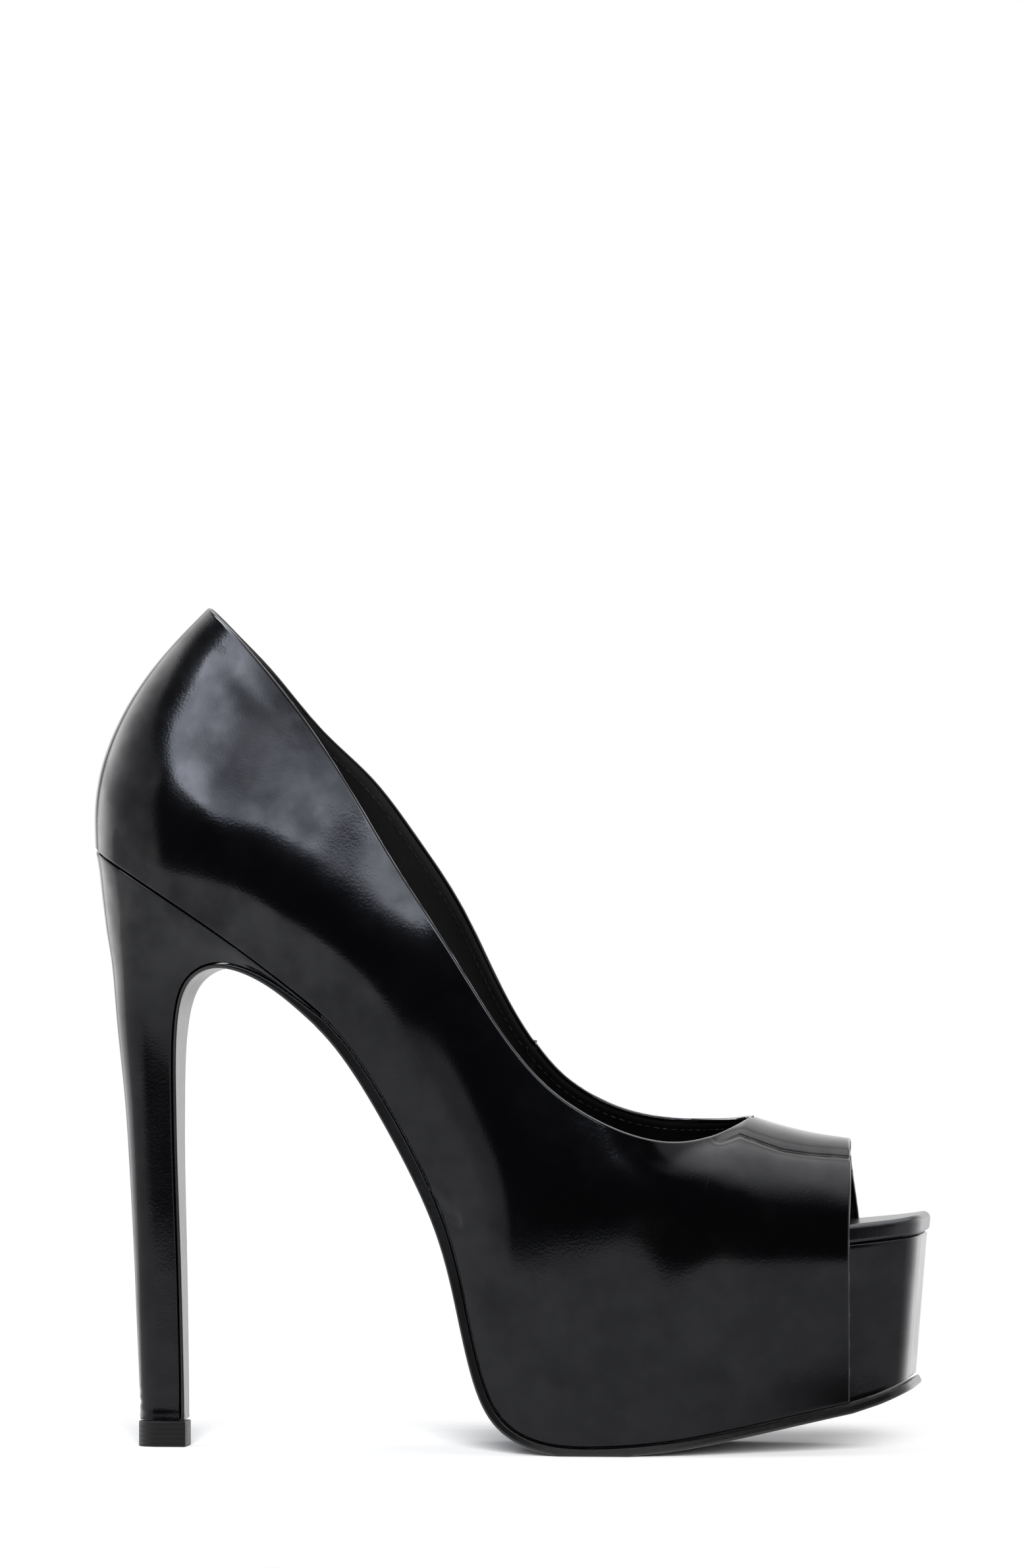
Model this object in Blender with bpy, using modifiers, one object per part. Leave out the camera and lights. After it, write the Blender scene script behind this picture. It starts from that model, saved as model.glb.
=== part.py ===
"""Peep-toe platform pump: a right shoe that stands on its platform and stiletto heel.

The toe points along +X, the inner side of the foot is +Y and up is +Z. Tables and functions work
in millimetres from the back of the heel; mesh() turns them into metres about the middle of the shoe.
"""

import math

import bmesh
import bpy
import numpy as np

# Driving dimensions, millimetres
LENGTH = 213.0
SIDE_SHIFT = 0.9
GAP = 0.3
UPPER_WALL = 1.6
TOP_PIECE_HEIGHT = 6.5
TOP_PIECE_RIM = 0.3
SOLE_RIM = 0.2
FLAT_SNAP = 0.35

# Finish of the meshes: points closer than this are one, in metres, and edges sharper than this show
WELD = 0.00001
SHARP_DEGREES = 35

# Steps between two stations and up one section of the upper
STATION_STEPS = 3
SECTION_STEPS = 14

# Stations that matter: front end of the heel seat, back of the platform, throat and peep edge
SEAT_END = 17 / 3
PLATFORM_BACK = 23 / 3
THROAT_SHOULDER = 13
THROAT = 15
PEEP_EDGE = 17
# How much further back the belly of the peep edge lies towards the inner side
PEEP_SLANT = 0.026

# The side wall over the platform: how far up it is held straight, how much, and from which stations on
WALL_SHARE = 0.72
WALL_STIFFNESS = 0.52
WALL_STATIONS = (9.0, 12.0)

# Toe in front of the peep edge: half-width at the tip, squareness of the corner, share of its rise
# that comes late, last row before the tip
TOE_HALF_WIDTH = 21.5
TOE_SQUARENESS = 7.5
TOE_LATE_RISE = 0.35
TOE_LAST = 0.995
TOE_ROWS = 9
INSOLE_FRONT = (212.1, 55.0, 59.6)
PLATFORM_FRONT = (208.2, 211.1)
OUTSOLE_FRONT = (208.7, 18.8)
# Shares of the platform's height at which its rows lie
PLATFORM_ROWS = (0.0, 0.35, 0.7, 1.0)

# Foot line of the upper, widest line of the last, height of the insole's underside up the wall,
# thickness of insole and outsole; one row a station from the heel back to the peep edge
STATIONS = (
    # foot_x, foot_z, belly_x, belly_z, bed, insole, sole
    (0.6, 151.5, 0.5, 163.0, 0.0, 2.5, 2.6),
    (3.0, 150.0, 3.2, 162.0, 0.0, 2.5, 2.6),
    (10.0, 145.8, 10.8, 159.6, 0.0, 2.5, 2.6),
    (22.0, 138.2, 25.0, 155.5, 0.0, 2.5, 2.6),
    (36.5, 128.3, 42.5, 148.0, 0.0, 2.5, 2.6),
    (52.0, 116.6, 59.5, 135.5, 0.0, 2.5, 2.6),
    (66.0, 103.8, 73.0, 124.0, 0.0, 2.5, 2.7),
    (80.0, 83.0, 86.5, 109.0, 0.0, 2.5, 2.9),
    (92.6, 57.6, 99.5, 87.0, 6.6, 2.5, 2.7),
    (98.8, 34.5, 109.5, 71.5, 24.8, 2.5, 2.3),
    (104.0, 15.5, 119.0, 63.0, 42.0, 2.5, 2.2),
    (111.2, 6.2, 129.5, 60.0, 50.0, 2.5, 2.1),
    (122.0, 2.6, 140.0, 58.5, 52.6, 2.6, 2.1),
    (136.0, 2.4, 150.5, 57.5, 51.4, 2.8, 2.1),
    (150.0, 3.7, 160.0, 57.0, 49.1, 3.0, 2.1),
    (164.5, 6.3, 168.8, 56.5, 46.2, 3.2, 2.1),
    (179.0, 9.5, 181.0, 56.0, 43.2, 4.3, 2.1),
    (194.4, 12.9, 193.7, 55.5, 40.0, 5.7, 2.1),
)

# Outer side of the last: half-widths at foot and belly, then shoulder and top edge of each section
LATERAL = (
    # foot_y, belly_y, shoulder_x, shoulder_y, shoulder_z, top_x, top_y, top_z
    (0.0, 0.0, 14.0, 0.0, 196.0, 29.6, 0.0, 212.9),
    (11.5, 12.5, 16.8, 9.4, 194.8, 31.6, 7.0, 211.2),
    (19.0, 21.0, 23.6, 17.0, 189.4, 37.5, 14.0, 206.2),
    (23.0, 26.2, 34.0, 23.5, 177.0, 46.5, 18.8, 196.6),
    (23.0, 27.7, 50.0, 25.6, 165.5, 58.0, 22.2, 182.2),
    (22.0, 27.8, 64.8, 26.6, 150.0, 70.0, 24.6, 164.0),
    (22.0, 28.6, 77.0, 28.2, 136.0, 80.4, 26.4, 147.0),
    (24.0, 30.5, 89.7, 31.0, 119.5, 92.4, 30.4, 129.0),
    (28.0, 34.8, 102.5, 34.9, 99.0, 105.0, 34.2, 109.6),
    (31.4, 38.6, 113.5, 38.3, 84.5, 116.6, 37.2, 95.0),
    (34.2, 40.9, 124.0, 40.3, 76.0, 127.6, 38.7, 86.4),
    (36.4, 41.7, 135.0, 40.8, 72.0, 138.6, 38.6, 81.0),
    (37.8, 41.6, 145.6, 39.9, 70.6, 149.0, 35.6, 78.5),
    (38.1, 40.7, 155.2, 37.2, 70.8, 157.6, 27.6, 79.2),
    (37.5, 39.8, 163.0, 33.8, 71.6, 164.0, 15.0, 81.8),
    (35.0, 37.6, 169.8, 30.4, 72.4, 167.3, 0.0, 84.0),
    (31.6, 34.4, 181.4, 26.6, 71.9, 180.0, 0.0, 80.4),
    (27.5, 30.8, 194.3, 22.6, 70.8, 192.5, 0.0, 78.5),
)

# Inner side of the last, in the same columns
MEDIAL = (
    (0.0, 0.0, 14.0, 0.0, 196.0, 29.6, 0.0, 212.9),
    (11.5, 12.5, 16.8, 9.4, 194.8, 31.8, 7.0, 210.4),
    (19.0, 21.0, 23.2, 17.0, 189.4, 36.6, 13.8, 204.8),
    (22.6, 26.0, 33.0, 23.2, 179.0, 44.8, 18.6, 195.6),
    (22.4, 27.0, 49.2, 25.8, 168.5, 56.2, 22.6, 181.7),
    (20.8, 26.4, 64.0, 26.8, 153.5, 68.6, 25.2, 169.4),
    (20.0, 26.6, 76.6, 28.0, 140.5, 80.0, 27.0, 154.2),
    (21.5, 29.5, 88.8, 30.8, 124.0, 91.4, 28.6, 136.5),
    (25.5, 34.5, 101.0, 35.0, 103.5, 102.0, 32.4, 114.4),
    (29.0, 38.5, 112.2, 38.2, 88.5, 112.8, 34.8, 97.8),
    (32.5, 41.5, 122.8, 40.6, 80.0, 123.2, 36.2, 89.3),
    (35.5, 43.0, 133.6, 41.4, 76.2, 133.8, 35.6, 84.9),
    (38.2, 43.6, 144.4, 41.4, 73.4, 144.2, 35.2, 83.1),
    (39.3, 43.3, 154.4, 39.6, 73.4, 154.4, 28.8, 83.0),
    (39.0, 42.0, 162.6, 36.2, 74.0, 163.0, 16.0, 83.6),
    (37.0, 40.0, 169.8, 32.6, 74.2, 167.3, 0.0, 84.0),
    (33.8, 36.8, 181.4, 28.8, 73.2, 180.0, 0.0, 80.4),
    (29.5, 33.0, 191.5, 24.0, 71.2, 192.5, 0.0, 78.5),
)

# Heel from the seat to the top piece: inner face of the sole round the arch and down the front,
# sole thickness, half-width at the front, back edge, widest half-width, share of the depth that is round
HEEL = (
    # front_x, front_z, sole, front_y, back_x, back_z, side_y, round
    (61.4, 108.7, 2.6, 21.2, 0.6, 151.5, 23.0, 0.36),
    (54.6, 113.2, 1.9, 21.0, 1.4, 147.0, 21.9, 0.38),
    (45.6, 119.6, 1.5, 20.3, 2.0, 141.5, 20.2, 0.42),
    (34.7, 122.7, 1.1, 18.2, 2.7, 135.5, 17.9, 0.48),
    (26.4, 119.6, 0.9, 14.8, 3.6, 129.0, 15.3, 0.52),
    (22.5, 112.0, 0.8, 12.0, 4.8, 121.0, 12.9, 0.54),
    (21.2, 100.0, 0.8, 9.8, 6.0, 107.0, 10.8, 0.55),
    (21.1, 86.0, 0.8, 8.4, 7.8, 89.5, 9.2, 0.55),
    (21.3, 71.0, 0.8, 7.4, 9.0, 72.5, 8.0, 0.55),
    (21.9, 50.0, 0.8, 6.4, 10.2, 50.0, 6.7, 0.55),
    (22.3, 33.0, 0.8, 5.7, 10.9, 33.0, 5.9, 0.55),
    (22.6, 17.0, 0.8, 5.2, 11.6, 17.0, 5.3, 0.55),
    (22.7, TOP_PIECE_HEIGHT + GAP, 0.8, 5.0, 11.9, TOP_PIECE_HEIGHT + GAP, 5.1, 0.55),
)
HEEL_STEPS = 2
# The heel's top sits this way from the seat, and its first rows follow the seat's outline
HEEL_DROP = (-0.56, 0.0, -0.83)
SEAT_ROWS = 3

# Colours, roughness of the finishes
LEATHER = ((0.012, 0.012, 0.014, 1.0), 0.22)
SOLE_RUBBER = ((0.016, 0.016, 0.017, 1.0), 0.45)


class Curve:
    """A smooth curve through rows at knots, with free ends or a set slope at its end."""

    def __init__(self, knots, rows, end_slope=None):
        self.knots = np.asarray(knots, float)
        self.rows = np.asarray(rows, float)
        count = len(self.knots)
        self.steps = np.diff(self.knots)
        self.slopes = np.diff(self.rows, axis=0) / self.steps[:, None]
        matrix = np.eye(count)
        right = np.zeros_like(self.rows)
        for i in range(1, count - 1):
            before, after = self.steps[i - 1], self.steps[i]
            matrix[i, i - 1:i + 2] = before, 2 * (before + after), after
            right[i] = 6 * (self.slopes[i] - self.slopes[i - 1])
        if end_slope is not None:
            matrix[-1, -2:] = self.steps[-1], 2 * self.steps[-1]
            right[-1] = 6 * (end_slope - self.slopes[-1])
        self.bend = np.linalg.solve(matrix, right)

    def __call__(self, place):
        i = int(np.clip(np.searchsorted(self.knots, place, side="right") - 1, 0, len(self.steps) - 1))
        a, h = place - self.knots[i], self.steps[i]
        low, high = self.bend[i], self.bend[i + 1]
        return (self.rows[i] + a * (self.slopes[i] - h * (2 * low + high) / 6)
                + a ** 2 * low / 2 + a ** 3 * (high - low) / (6 * h))

    def end_slope(self):
        return self.slopes[-1] + self.steps[-1] * (self.bend[-2] + 2 * self.bend[-1]) / 6


def smooth_step(low, high, value):
    t = min(max((value - low) / (high - low), 0.0), 1.0)
    return t * t * (3 - 2 * t)


def last_row(number):
    """Foot, belly, shoulder and top of one section; a negative number is the outer side."""
    station = abs(number)
    side = -1 if number < 0 else 1
    foot_x, foot_z, belly_x, belly_z = STATIONS[station][:4]
    table = LATERAL if number < 0 else MEDIAL
    foot_y, belly_y, shoulder_x, shoulder_y, shoulder_z, top_x, top_y, top_z = table[station]
    if station == PEEP_EDGE:
        belly_x -= PEEP_SLANT * side * belly_y
    return ((foot_x, side * foot_y, foot_z), (belly_x, side * belly_y, belly_z),
            (shoulder_x, side * shoulder_y, shoulder_z), (top_x, side * top_y, top_z))


RING = range(-PEEP_EDGE, PEEP_EDGE + 1)
BODY_LINES = [Curve(RING, [last_row(k)[line] for k in RING]) for line in range(3)]
# The topline runs on past the throat onto the other side, so that it crosses the middle smoothly
TOPLINE = Curve(RING, [last_row(k if abs(k) <= THROAT else (2 * THROAT - abs(k)) * (-1 if k > 0 else 1))[3]
                       for k in RING])
CROWN = Curve(range(THROAT, PEEP_EDGE + 1), [last_row(k)[3] for k in range(THROAT, PEEP_EDGE + 1)])
LEVELS = Curve(range(PEEP_EDGE + 1), [row[4:] for row in STATIONS])
HEEL_ROWS = Curve(range(len(HEEL)), HEEL)


def curve_through(points):
    """A curve through points by length, and the lengths at them."""
    lengths = np.linalg.norm(np.diff(points, axis=0), axis=1)
    knots = np.concatenate([[0.0], np.cumsum(lengths)])
    return Curve(knots, points), knots


def section(place):
    """The curve of one section from foot to top edge, by length, and its whole length."""
    top = TOPLINE(place) if abs(place) <= THROAT else CROWN(abs(place))
    points = np.array([line(place) for line in BODY_LINES] + [top])
    loose, knots = curve_through(points)
    soft = loose(knots[1] * WALL_SHARE)
    stiff = points[0] + (points[1] - points[0]) * WALL_SHARE
    boxed = WALL_STIFFNESS * smooth_step(*WALL_STATIONS, abs(place))
    loose, knots = curve_through(np.insert(points, 1, soft + (stiff - soft) * boxed, axis=0))
    free = loose.end_slope()
    level = np.array([0.0, -math.copysign(1.0, place), 0.0])
    over = smooth_step(THROAT_SHOULDER, THROAT, abs(place))
    return Curve(knots, loose.rows, free * (1 - over) + level * over), knots[-1]


def wall(place, height, depth=0.0):
    """A point of the upper's outer face, height millimetres above the foot line and depth inside it."""
    nudge = 0.02
    curve = section(place)[0]
    point = curve(height)
    if depth == 0.0:
        return point
    after = section(place + nudge)[0](height)
    before = section(place - nudge)[0](height)
    along = after - before
    upward = curve(height + nudge) - curve(max(height - nudge, 0.0))
    inward = np.cross(along, upward)
    return point + depth * inward / np.linalg.norm(inward)


def levels(place):
    """Height of the insole's underside, insole thickness and sole thickness at a station."""
    bed, insole, sole = LEVELS(min(abs(place), PEEP_EDGE))
    return max(bed, 0.0), insole, sole


def stations(first, last):
    """Places from one station to another, at the common steps."""
    count = round((last - first) * STATION_STEPS)
    return [first + i / STATION_STEPS for i in range(count + 1)]


def mesh(name, points, faces, finish, collection):
    """One named object from points in millimetres."""
    shape = bpy.data.meshes.new(name)
    moved = [((x - LENGTH / 2) / 1000, (y - SIDE_SHIFT) / 1000, z / 1000) for x, y, z in points]
    shape.from_pydata(moved, [], faces)
    form = bmesh.new()
    form.from_mesh(shape)
    bmesh.ops.remove_doubles(form, verts=form.verts, dist=WELD)
    bmesh.ops.recalc_face_normals(form, faces=form.faces)
    form.to_mesh(shape)
    form.free()
    shape.shade_smooth()
    shape.set_sharp_from_angle(angle=math.radians(SHARP_DEGREES))
    part = bpy.data.objects.new(name, shape)
    collection.objects.link(part)
    colour, roughness = finish
    material = bpy.data.materials.new(name)
    material.use_nodes = True
    shader = material.node_tree.nodes["Principled BSDF"]
    shader.inputs["Base Color"].default_value = colour
    shader.inputs["Roughness"].default_value = roughness
    shader.inputs["Metallic"].default_value = 0.0
    shape.materials.append(material)
    return part


def loft(name, loops, finish, collection):
    """A closed body through loops of equal length, capped at both ends."""
    size = len(loops[0])
    points = [point for loop in loops for point in loop]
    faces = []
    for row in range(len(loops) - 1):
        for i in range(size):
            j = (i + 1) % size
            faces.append((row * size + i, row * size + j, (row + 1) * size + j, (row + 1) * size + i))
    faces.append(tuple(reversed(range(size))))
    faces.append(tuple((len(loops) - 1) * size + i for i in range(size)))
    return mesh(name, points, faces, finish, collection)


def toe_places():
    """Shares of the way from the peep edge to the toe, closer together at the corner."""
    return [TOE_LAST * (1 - (1 - (i + 1) / TOE_ROWS) ** 2) for i in range(TOE_ROWS)]


def toe_point(base, front_x, front_z, share):
    """A point on the rounded square toe, led forward from its place at the peep edge."""
    x, y, z = base
    taper = abs(y) + (TOE_HALF_WIDTH - abs(y)) * share
    half = taper * (1 - share ** TOE_SQUARENESS) ** (1 / TOE_SQUARENESS)
    rise = share * (1 - TOE_LATE_RISE + TOE_LATE_RISE * share)
    return (x + (front_x - x) * share, math.copysign(half, y), z + (front_z - z) * rise)


def make_upper(collection):
    """The leather shell: one sheet from peep edge round the heel to peep edge, joined along the vamp."""
    places = stations(-PEEP_EDGE, PEEP_EDGE)
    points = []
    for place in places:
        curve, length = section(place)
        points += [curve(length * i / SECTION_STEPS) for i in range(SECTION_STEPS + 1)]
    rows = SECTION_STEPS + 1
    faces = []
    for column in range(len(places) - 1):
        for i in range(SECTION_STEPS):
            corner = column * rows + i
            faces.append((corner, corner + rows, corner + rows + 1, corner + 1))
    upper = mesh("upper", points, faces, LEATHER, collection)
    shell = upper.modifiers.new("wall", "SOLIDIFY")
    shell.thickness = UPPER_WALL / 1000
    shell.offset = -1
    return upper


def make_platform(collection):
    """The block between insole and outsole, inside the upper and bare at the toe."""
    inside = UPPER_WALL + GAP
    shares = PLATFORM_ROWS
    loops = []
    for place in stations(PLATFORM_BACK, PEEP_EDGE):
        top = levels(place)[0]
        outer = [wall(-place, top * share, inside) for share in shares]
        inner = [wall(place, top * share, inside) for share in shares]
        loops.append(outer + inner[::-1])
    last = loops[-1]
    fronts = [PLATFORM_FRONT[0] + (PLATFORM_FRONT[1] - PLATFORM_FRONT[0]) * share for share in shares]
    heights = [OUTSOLE_FRONT[1] + (INSOLE_FRONT[1] - GAP - OUTSOLE_FRONT[1]) * share for share in shares]
    for share in toe_places():
        loops.append([toe_point(point, front, height, share)
                      for point, front, height in zip(last, fronts + fronts[::-1], heights + heights[::-1])])
    return loft("platform", loops, LEATHER, collection)


def make_insole(collection):
    """The footbed, from the heel seat to the rolled rim at the toe."""
    inside = UPPER_WALL + GAP
    loops = []
    for place in stations(1 / STATION_STEPS, PEEP_EDGE):
        bed, thick = levels(place)[:2]
        low, high = bed + GAP, bed + thick
        loops.append([wall(-place, low, inside), wall(-place, high, inside),
                      wall(place, high, inside), wall(place, low, inside)])
    last = loops[-1]
    front_x, low_z, high_z = INSOLE_FRONT
    for share in toe_places():
        loops.append([toe_point(point, front_x, height, share)
                      for point, height in zip(last, (low_z, high_z, high_z, low_z))])
    return loft("insole", loops, LEATHER, collection)


def seat_share(level):
    """How much of the seat's own outline a slice of the heel keeps."""
    return 1 - smooth_step(0, SEAT_ROWS, level)


def sole_path():
    """Inner face of the sole from toe to top piece: x, z, thickness, outer and inner half-width."""
    path = []
    base = [BODY_LINES[0](side * PEEP_EDGE) for side in (-1, 1)]
    thick = levels(PEEP_EDGE)[2]
    for share in reversed(toe_places()):
        outer, inner = [toe_point(point, OUTSOLE_FRONT[0], OUTSOLE_FRONT[1], share) for point in base]
        path.append((outer[0], outer[2], thick, -outer[1] + SOLE_RIM, inner[1] + SOLE_RIM))
    for place in reversed(stations(SEAT_END, PEEP_EDGE)):
        outer, inner = [BODY_LINES[0](side * place) for side in (-1, 1)]
        path.append((outer[0], outer[2], levels(place)[2], -outer[1], inner[1]))
    _, _, _, outer_end, inner_end = path[-1]
    for step in range(1, (len(HEEL) - 1) * HEEL_STEPS + 1):
        level = step / HEEL_STEPS
        front_x, front_z, thick, front_y = HEEL_ROWS(level)[:4]
        start_y, share = HEEL[0][3], seat_share(level)
        path.append((front_x, front_z, thick, front_y + (outer_end - start_y) * share,
                     front_y + (inner_end - start_y) * share))
    return path


def path_normals(path):
    """Direction from the sole's outer to its inner face at each row of the path."""
    line = np.array([row[:2] for row in path])
    along = np.gradient(line, axis=0)
    along /= np.linalg.norm(along, axis=1)[:, None]
    return np.stack([along[:, 1], -along[:, 0]], axis=1)


def make_outsole(collection):
    """The thin sole: under the platform, up its back, along the shank and down the heel's front."""
    path = sole_path()
    loops = []
    for (x, z, thick, outer, inner), (nx, nz) in zip(path, path_normals(path)):
        top_x, top_z = x - GAP * nx, z - GAP * nz
        low_x, low_z = x - (GAP + thick) * nx, z - (GAP + thick) * nz
        if low_z < FLAT_SNAP:
            low_z = 0.0
        loops.append([(top_x, -outer, top_z), (top_x, inner, top_z),
                      (low_x, inner, low_z), (low_x, -outer, low_z)])
    return loft("outsole", loops, SOLE_RUBBER, collection)


def heel_loop(level):
    """A slanted slice of the heel: round at the back, flat at the front."""
    front_x, front_z, _, front_y, back_x, back_z, side_y, rounding = HEEL_ROWS(level)
    half = round(SEAT_END * STATION_STEPS)
    bend = half // 2
    loop = []
    for i in range(-half, half + 1):
        if abs(i) <= bend:
            turn = math.pi / 2 * i / bend
            share, side = rounding * (1 - math.cos(turn)), side_y * math.sin(turn)
        else:
            run = (abs(i) - bend) / (half - bend)
            share = rounding + (1 - rounding) * run
            side = math.copysign(side_y + (front_y - side_y) * run, i)
        loop.append(np.array([back_x + (front_x - back_x) * share, side,
                              back_z + (front_z - back_z) * share]))
    return loop


def make_heel(collection):
    """The covered stiletto heel; its top follows the foot line of the upper and it ends in a thin edge."""
    half = round(SEAT_END * STATION_STEPS)
    seam = [BODY_LINES[0](i / STATION_STEPS) for i in range(-half, half + 1)]
    down = np.array(HEEL_DROP) * GAP
    plain = heel_loop(0)
    loops = [[point + down for point in seam]]
    for step in range(HEEL_STEPS, (len(HEEL) - 1) * HEEL_STEPS + 1):
        level = step / HEEL_STEPS
        loops.append([point + (edge - flat) * seat_share(level)
                      for point, edge, flat in zip(heel_loop(level), seam, plain)])
    return loft("heel", loops, LEATHER, collection)


def make_top_piece(collection):
    """The lift under the heel and the end of the sole, on the floor."""
    bottom = heel_loop(len(HEEL) - 1)
    sole = HEEL[-1][2] + GAP
    middle = np.mean([point[0] for point in bottom])
    loop = []
    for x, y, z in bottom:
        grown = x + sole + TOP_PIECE_RIM if x > middle + sole else x - TOP_PIECE_RIM * (x < middle)
        loop.append((grown, y + math.copysign(TOP_PIECE_RIM, y) * (abs(y) > GAP), TOP_PIECE_HEIGHT))
    floor = [(x, y, 0.0) for x, y, z in loop]
    return loft("top_piece", [loop, floor], SOLE_RUBBER, collection)


def main():
    for old in list(bpy.data.objects):
        bpy.data.objects.remove(old)
    collection = bpy.data.collections.new("platform_pump")
    bpy.context.scene.collection.children.link(collection)
    make_upper(collection)
    make_platform(collection)
    make_insole(collection)
    make_outsole(collection)
    make_heel(collection)
    make_top_piece(collection)


main()
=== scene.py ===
"""Looks of the peep-toe platform pump, a right shoe in polished black leather.

The toe points along +X, the inner side of the foot is +Y and up is +Z. Tables and functions work in
millimetres from the back of the heel; to_frame() turns them into metres in the frame of the solids.
"""

import math

import bmesh
import bpy
import numpy as np
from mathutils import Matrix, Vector, bvhtree, kdtree


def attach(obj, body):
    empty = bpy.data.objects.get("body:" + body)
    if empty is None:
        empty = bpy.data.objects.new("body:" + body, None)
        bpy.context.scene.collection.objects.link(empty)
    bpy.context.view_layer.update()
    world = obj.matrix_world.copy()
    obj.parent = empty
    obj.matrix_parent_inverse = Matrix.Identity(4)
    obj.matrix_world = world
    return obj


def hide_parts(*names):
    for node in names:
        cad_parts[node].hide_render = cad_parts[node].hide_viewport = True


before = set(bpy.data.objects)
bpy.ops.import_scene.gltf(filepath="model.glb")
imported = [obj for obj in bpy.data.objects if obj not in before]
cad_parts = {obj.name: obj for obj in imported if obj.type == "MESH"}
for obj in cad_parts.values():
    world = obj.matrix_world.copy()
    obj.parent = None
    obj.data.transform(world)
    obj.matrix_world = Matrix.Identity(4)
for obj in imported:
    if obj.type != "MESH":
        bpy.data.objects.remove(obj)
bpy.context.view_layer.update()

# Dimensions shared with the solids, millimetres
LENGTH = 213.0
SIDE_SHIFT = 0.9
GAP = 0.3
UPPER_WALL = 1.6
TOP_PIECE_HEIGHT = 6.5
TOP_PIECE_RIM = 0.3
SOLE_RIM = 0.2
FLAT_SNAP = 0.35

# Stations that matter: front end of the heel seat, back of the platform, throat and peep edge
SEAT_END = 17 / 3
PLATFORM_BACK = 23 / 3
THROAT_SHOULDER = 13
THROAT = 15
PEEP_EDGE = 17
# How much further back the belly of the peep edge lies towards the inner side
PEEP_SLANT = 0.026

# The side wall over the platform: how far up it is held straight, how much, and from which stations on
WALL_SHARE = 0.72
WALL_STIFFNESS = 0.52
WALL_STATIONS = (9.0, 12.0)

# Toe in front of the peep edge: half-width at the tip, squareness of the corner, share of its rise
# that comes late
TOE_HALF_WIDTH = 21.5
TOE_SQUARENESS = 7.5
TOE_LATE_RISE = 0.35
# Front ends: the insole's x and the heights of its two faces, the platform's x at its foot and at its top,
# the outsole's x and height
INSOLE_FRONT = (212.1, 55.0, 59.6)
PLATFORM_FRONT = (208.2, 211.1)
OUTSOLE_FRONT = (208.7, 18.8)

# Foot line of the upper, widest line of the last, height of the insole's underside up the wall,
# thickness of insole and outsole; one row a station from the heel back to the peep edge
STATIONS = (
    # foot_x, foot_z, belly_x, belly_z, bed, insole, sole
    (0.6, 151.5, 0.5, 163.0, 0.0, 2.5, 2.6),
    (3.0, 150.0, 3.2, 162.0, 0.0, 2.5, 2.6),
    (10.0, 145.8, 10.8, 159.6, 0.0, 2.5, 2.6),
    (22.0, 138.2, 25.0, 155.5, 0.0, 2.5, 2.6),
    (36.5, 128.3, 42.5, 148.0, 0.0, 2.5, 2.6),
    (52.0, 116.6, 59.5, 135.5, 0.0, 2.5, 2.6),
    (66.0, 103.8, 73.0, 124.0, 0.0, 2.5, 2.7),
    (80.0, 83.0, 86.5, 109.0, 0.0, 2.5, 2.9),
    (92.6, 57.6, 99.5, 87.0, 6.6, 2.5, 2.7),
    (98.8, 34.5, 109.5, 71.5, 24.8, 2.5, 2.3),
    (104.0, 15.5, 119.0, 63.0, 42.0, 2.5, 2.2),
    (111.2, 6.2, 129.5, 60.0, 50.0, 2.5, 2.1),
    (122.0, 2.6, 140.0, 58.5, 52.6, 2.6, 2.1),
    (136.0, 2.4, 150.5, 57.5, 51.4, 2.8, 2.1),
    (150.0, 3.7, 160.0, 57.0, 49.1, 3.0, 2.1),
    (164.5, 6.3, 168.8, 56.5, 46.2, 3.2, 2.1),
    (179.0, 9.5, 181.0, 56.0, 43.2, 4.3, 2.1),
    (194.4, 12.9, 193.7, 55.5, 40.0, 5.7, 2.1),
)

# Outer side of the last: half-widths at foot and belly, then shoulder and top edge of each section
LATERAL = (
    # foot_y, belly_y, shoulder_x, shoulder_y, shoulder_z, top_x, top_y, top_z
    (0.0, 0.0, 14.0, 0.0, 196.0, 29.6, 0.0, 212.9),
    (11.5, 12.5, 16.8, 9.4, 194.8, 31.6, 7.0, 211.2),
    (19.0, 21.0, 23.6, 17.0, 189.4, 37.5, 14.0, 206.2),
    (23.0, 26.2, 34.0, 23.5, 177.0, 46.5, 18.8, 196.6),
    (23.0, 27.7, 50.0, 25.6, 165.5, 58.0, 22.2, 182.2),
    (22.0, 27.8, 64.8, 26.6, 150.0, 70.0, 24.6, 164.0),
    (22.0, 28.6, 77.0, 28.2, 136.0, 80.4, 26.4, 147.0),
    (24.0, 30.5, 89.7, 31.0, 119.5, 92.4, 30.4, 129.0),
    (28.0, 34.8, 102.5, 34.9, 99.0, 105.0, 34.2, 109.6),
    (31.4, 38.6, 113.5, 38.3, 84.5, 116.6, 37.2, 95.0),
    (34.2, 40.9, 124.0, 40.3, 76.0, 127.6, 38.7, 86.4),
    (36.4, 41.7, 135.0, 40.8, 72.0, 138.6, 38.6, 81.0),
    (37.8, 41.6, 145.6, 39.9, 70.6, 149.0, 35.6, 78.5),
    (38.1, 40.7, 155.2, 37.2, 70.8, 157.6, 27.6, 79.2),
    (37.5, 39.8, 163.0, 33.8, 71.6, 164.0, 15.0, 81.8),
    (35.0, 37.6, 169.8, 30.4, 72.4, 167.3, 0.0, 84.0),
    (31.6, 34.4, 181.4, 26.6, 71.9, 180.0, 0.0, 80.4),
    (27.5, 30.8, 194.3, 22.6, 70.8, 192.5, 0.0, 78.5),
)

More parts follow.
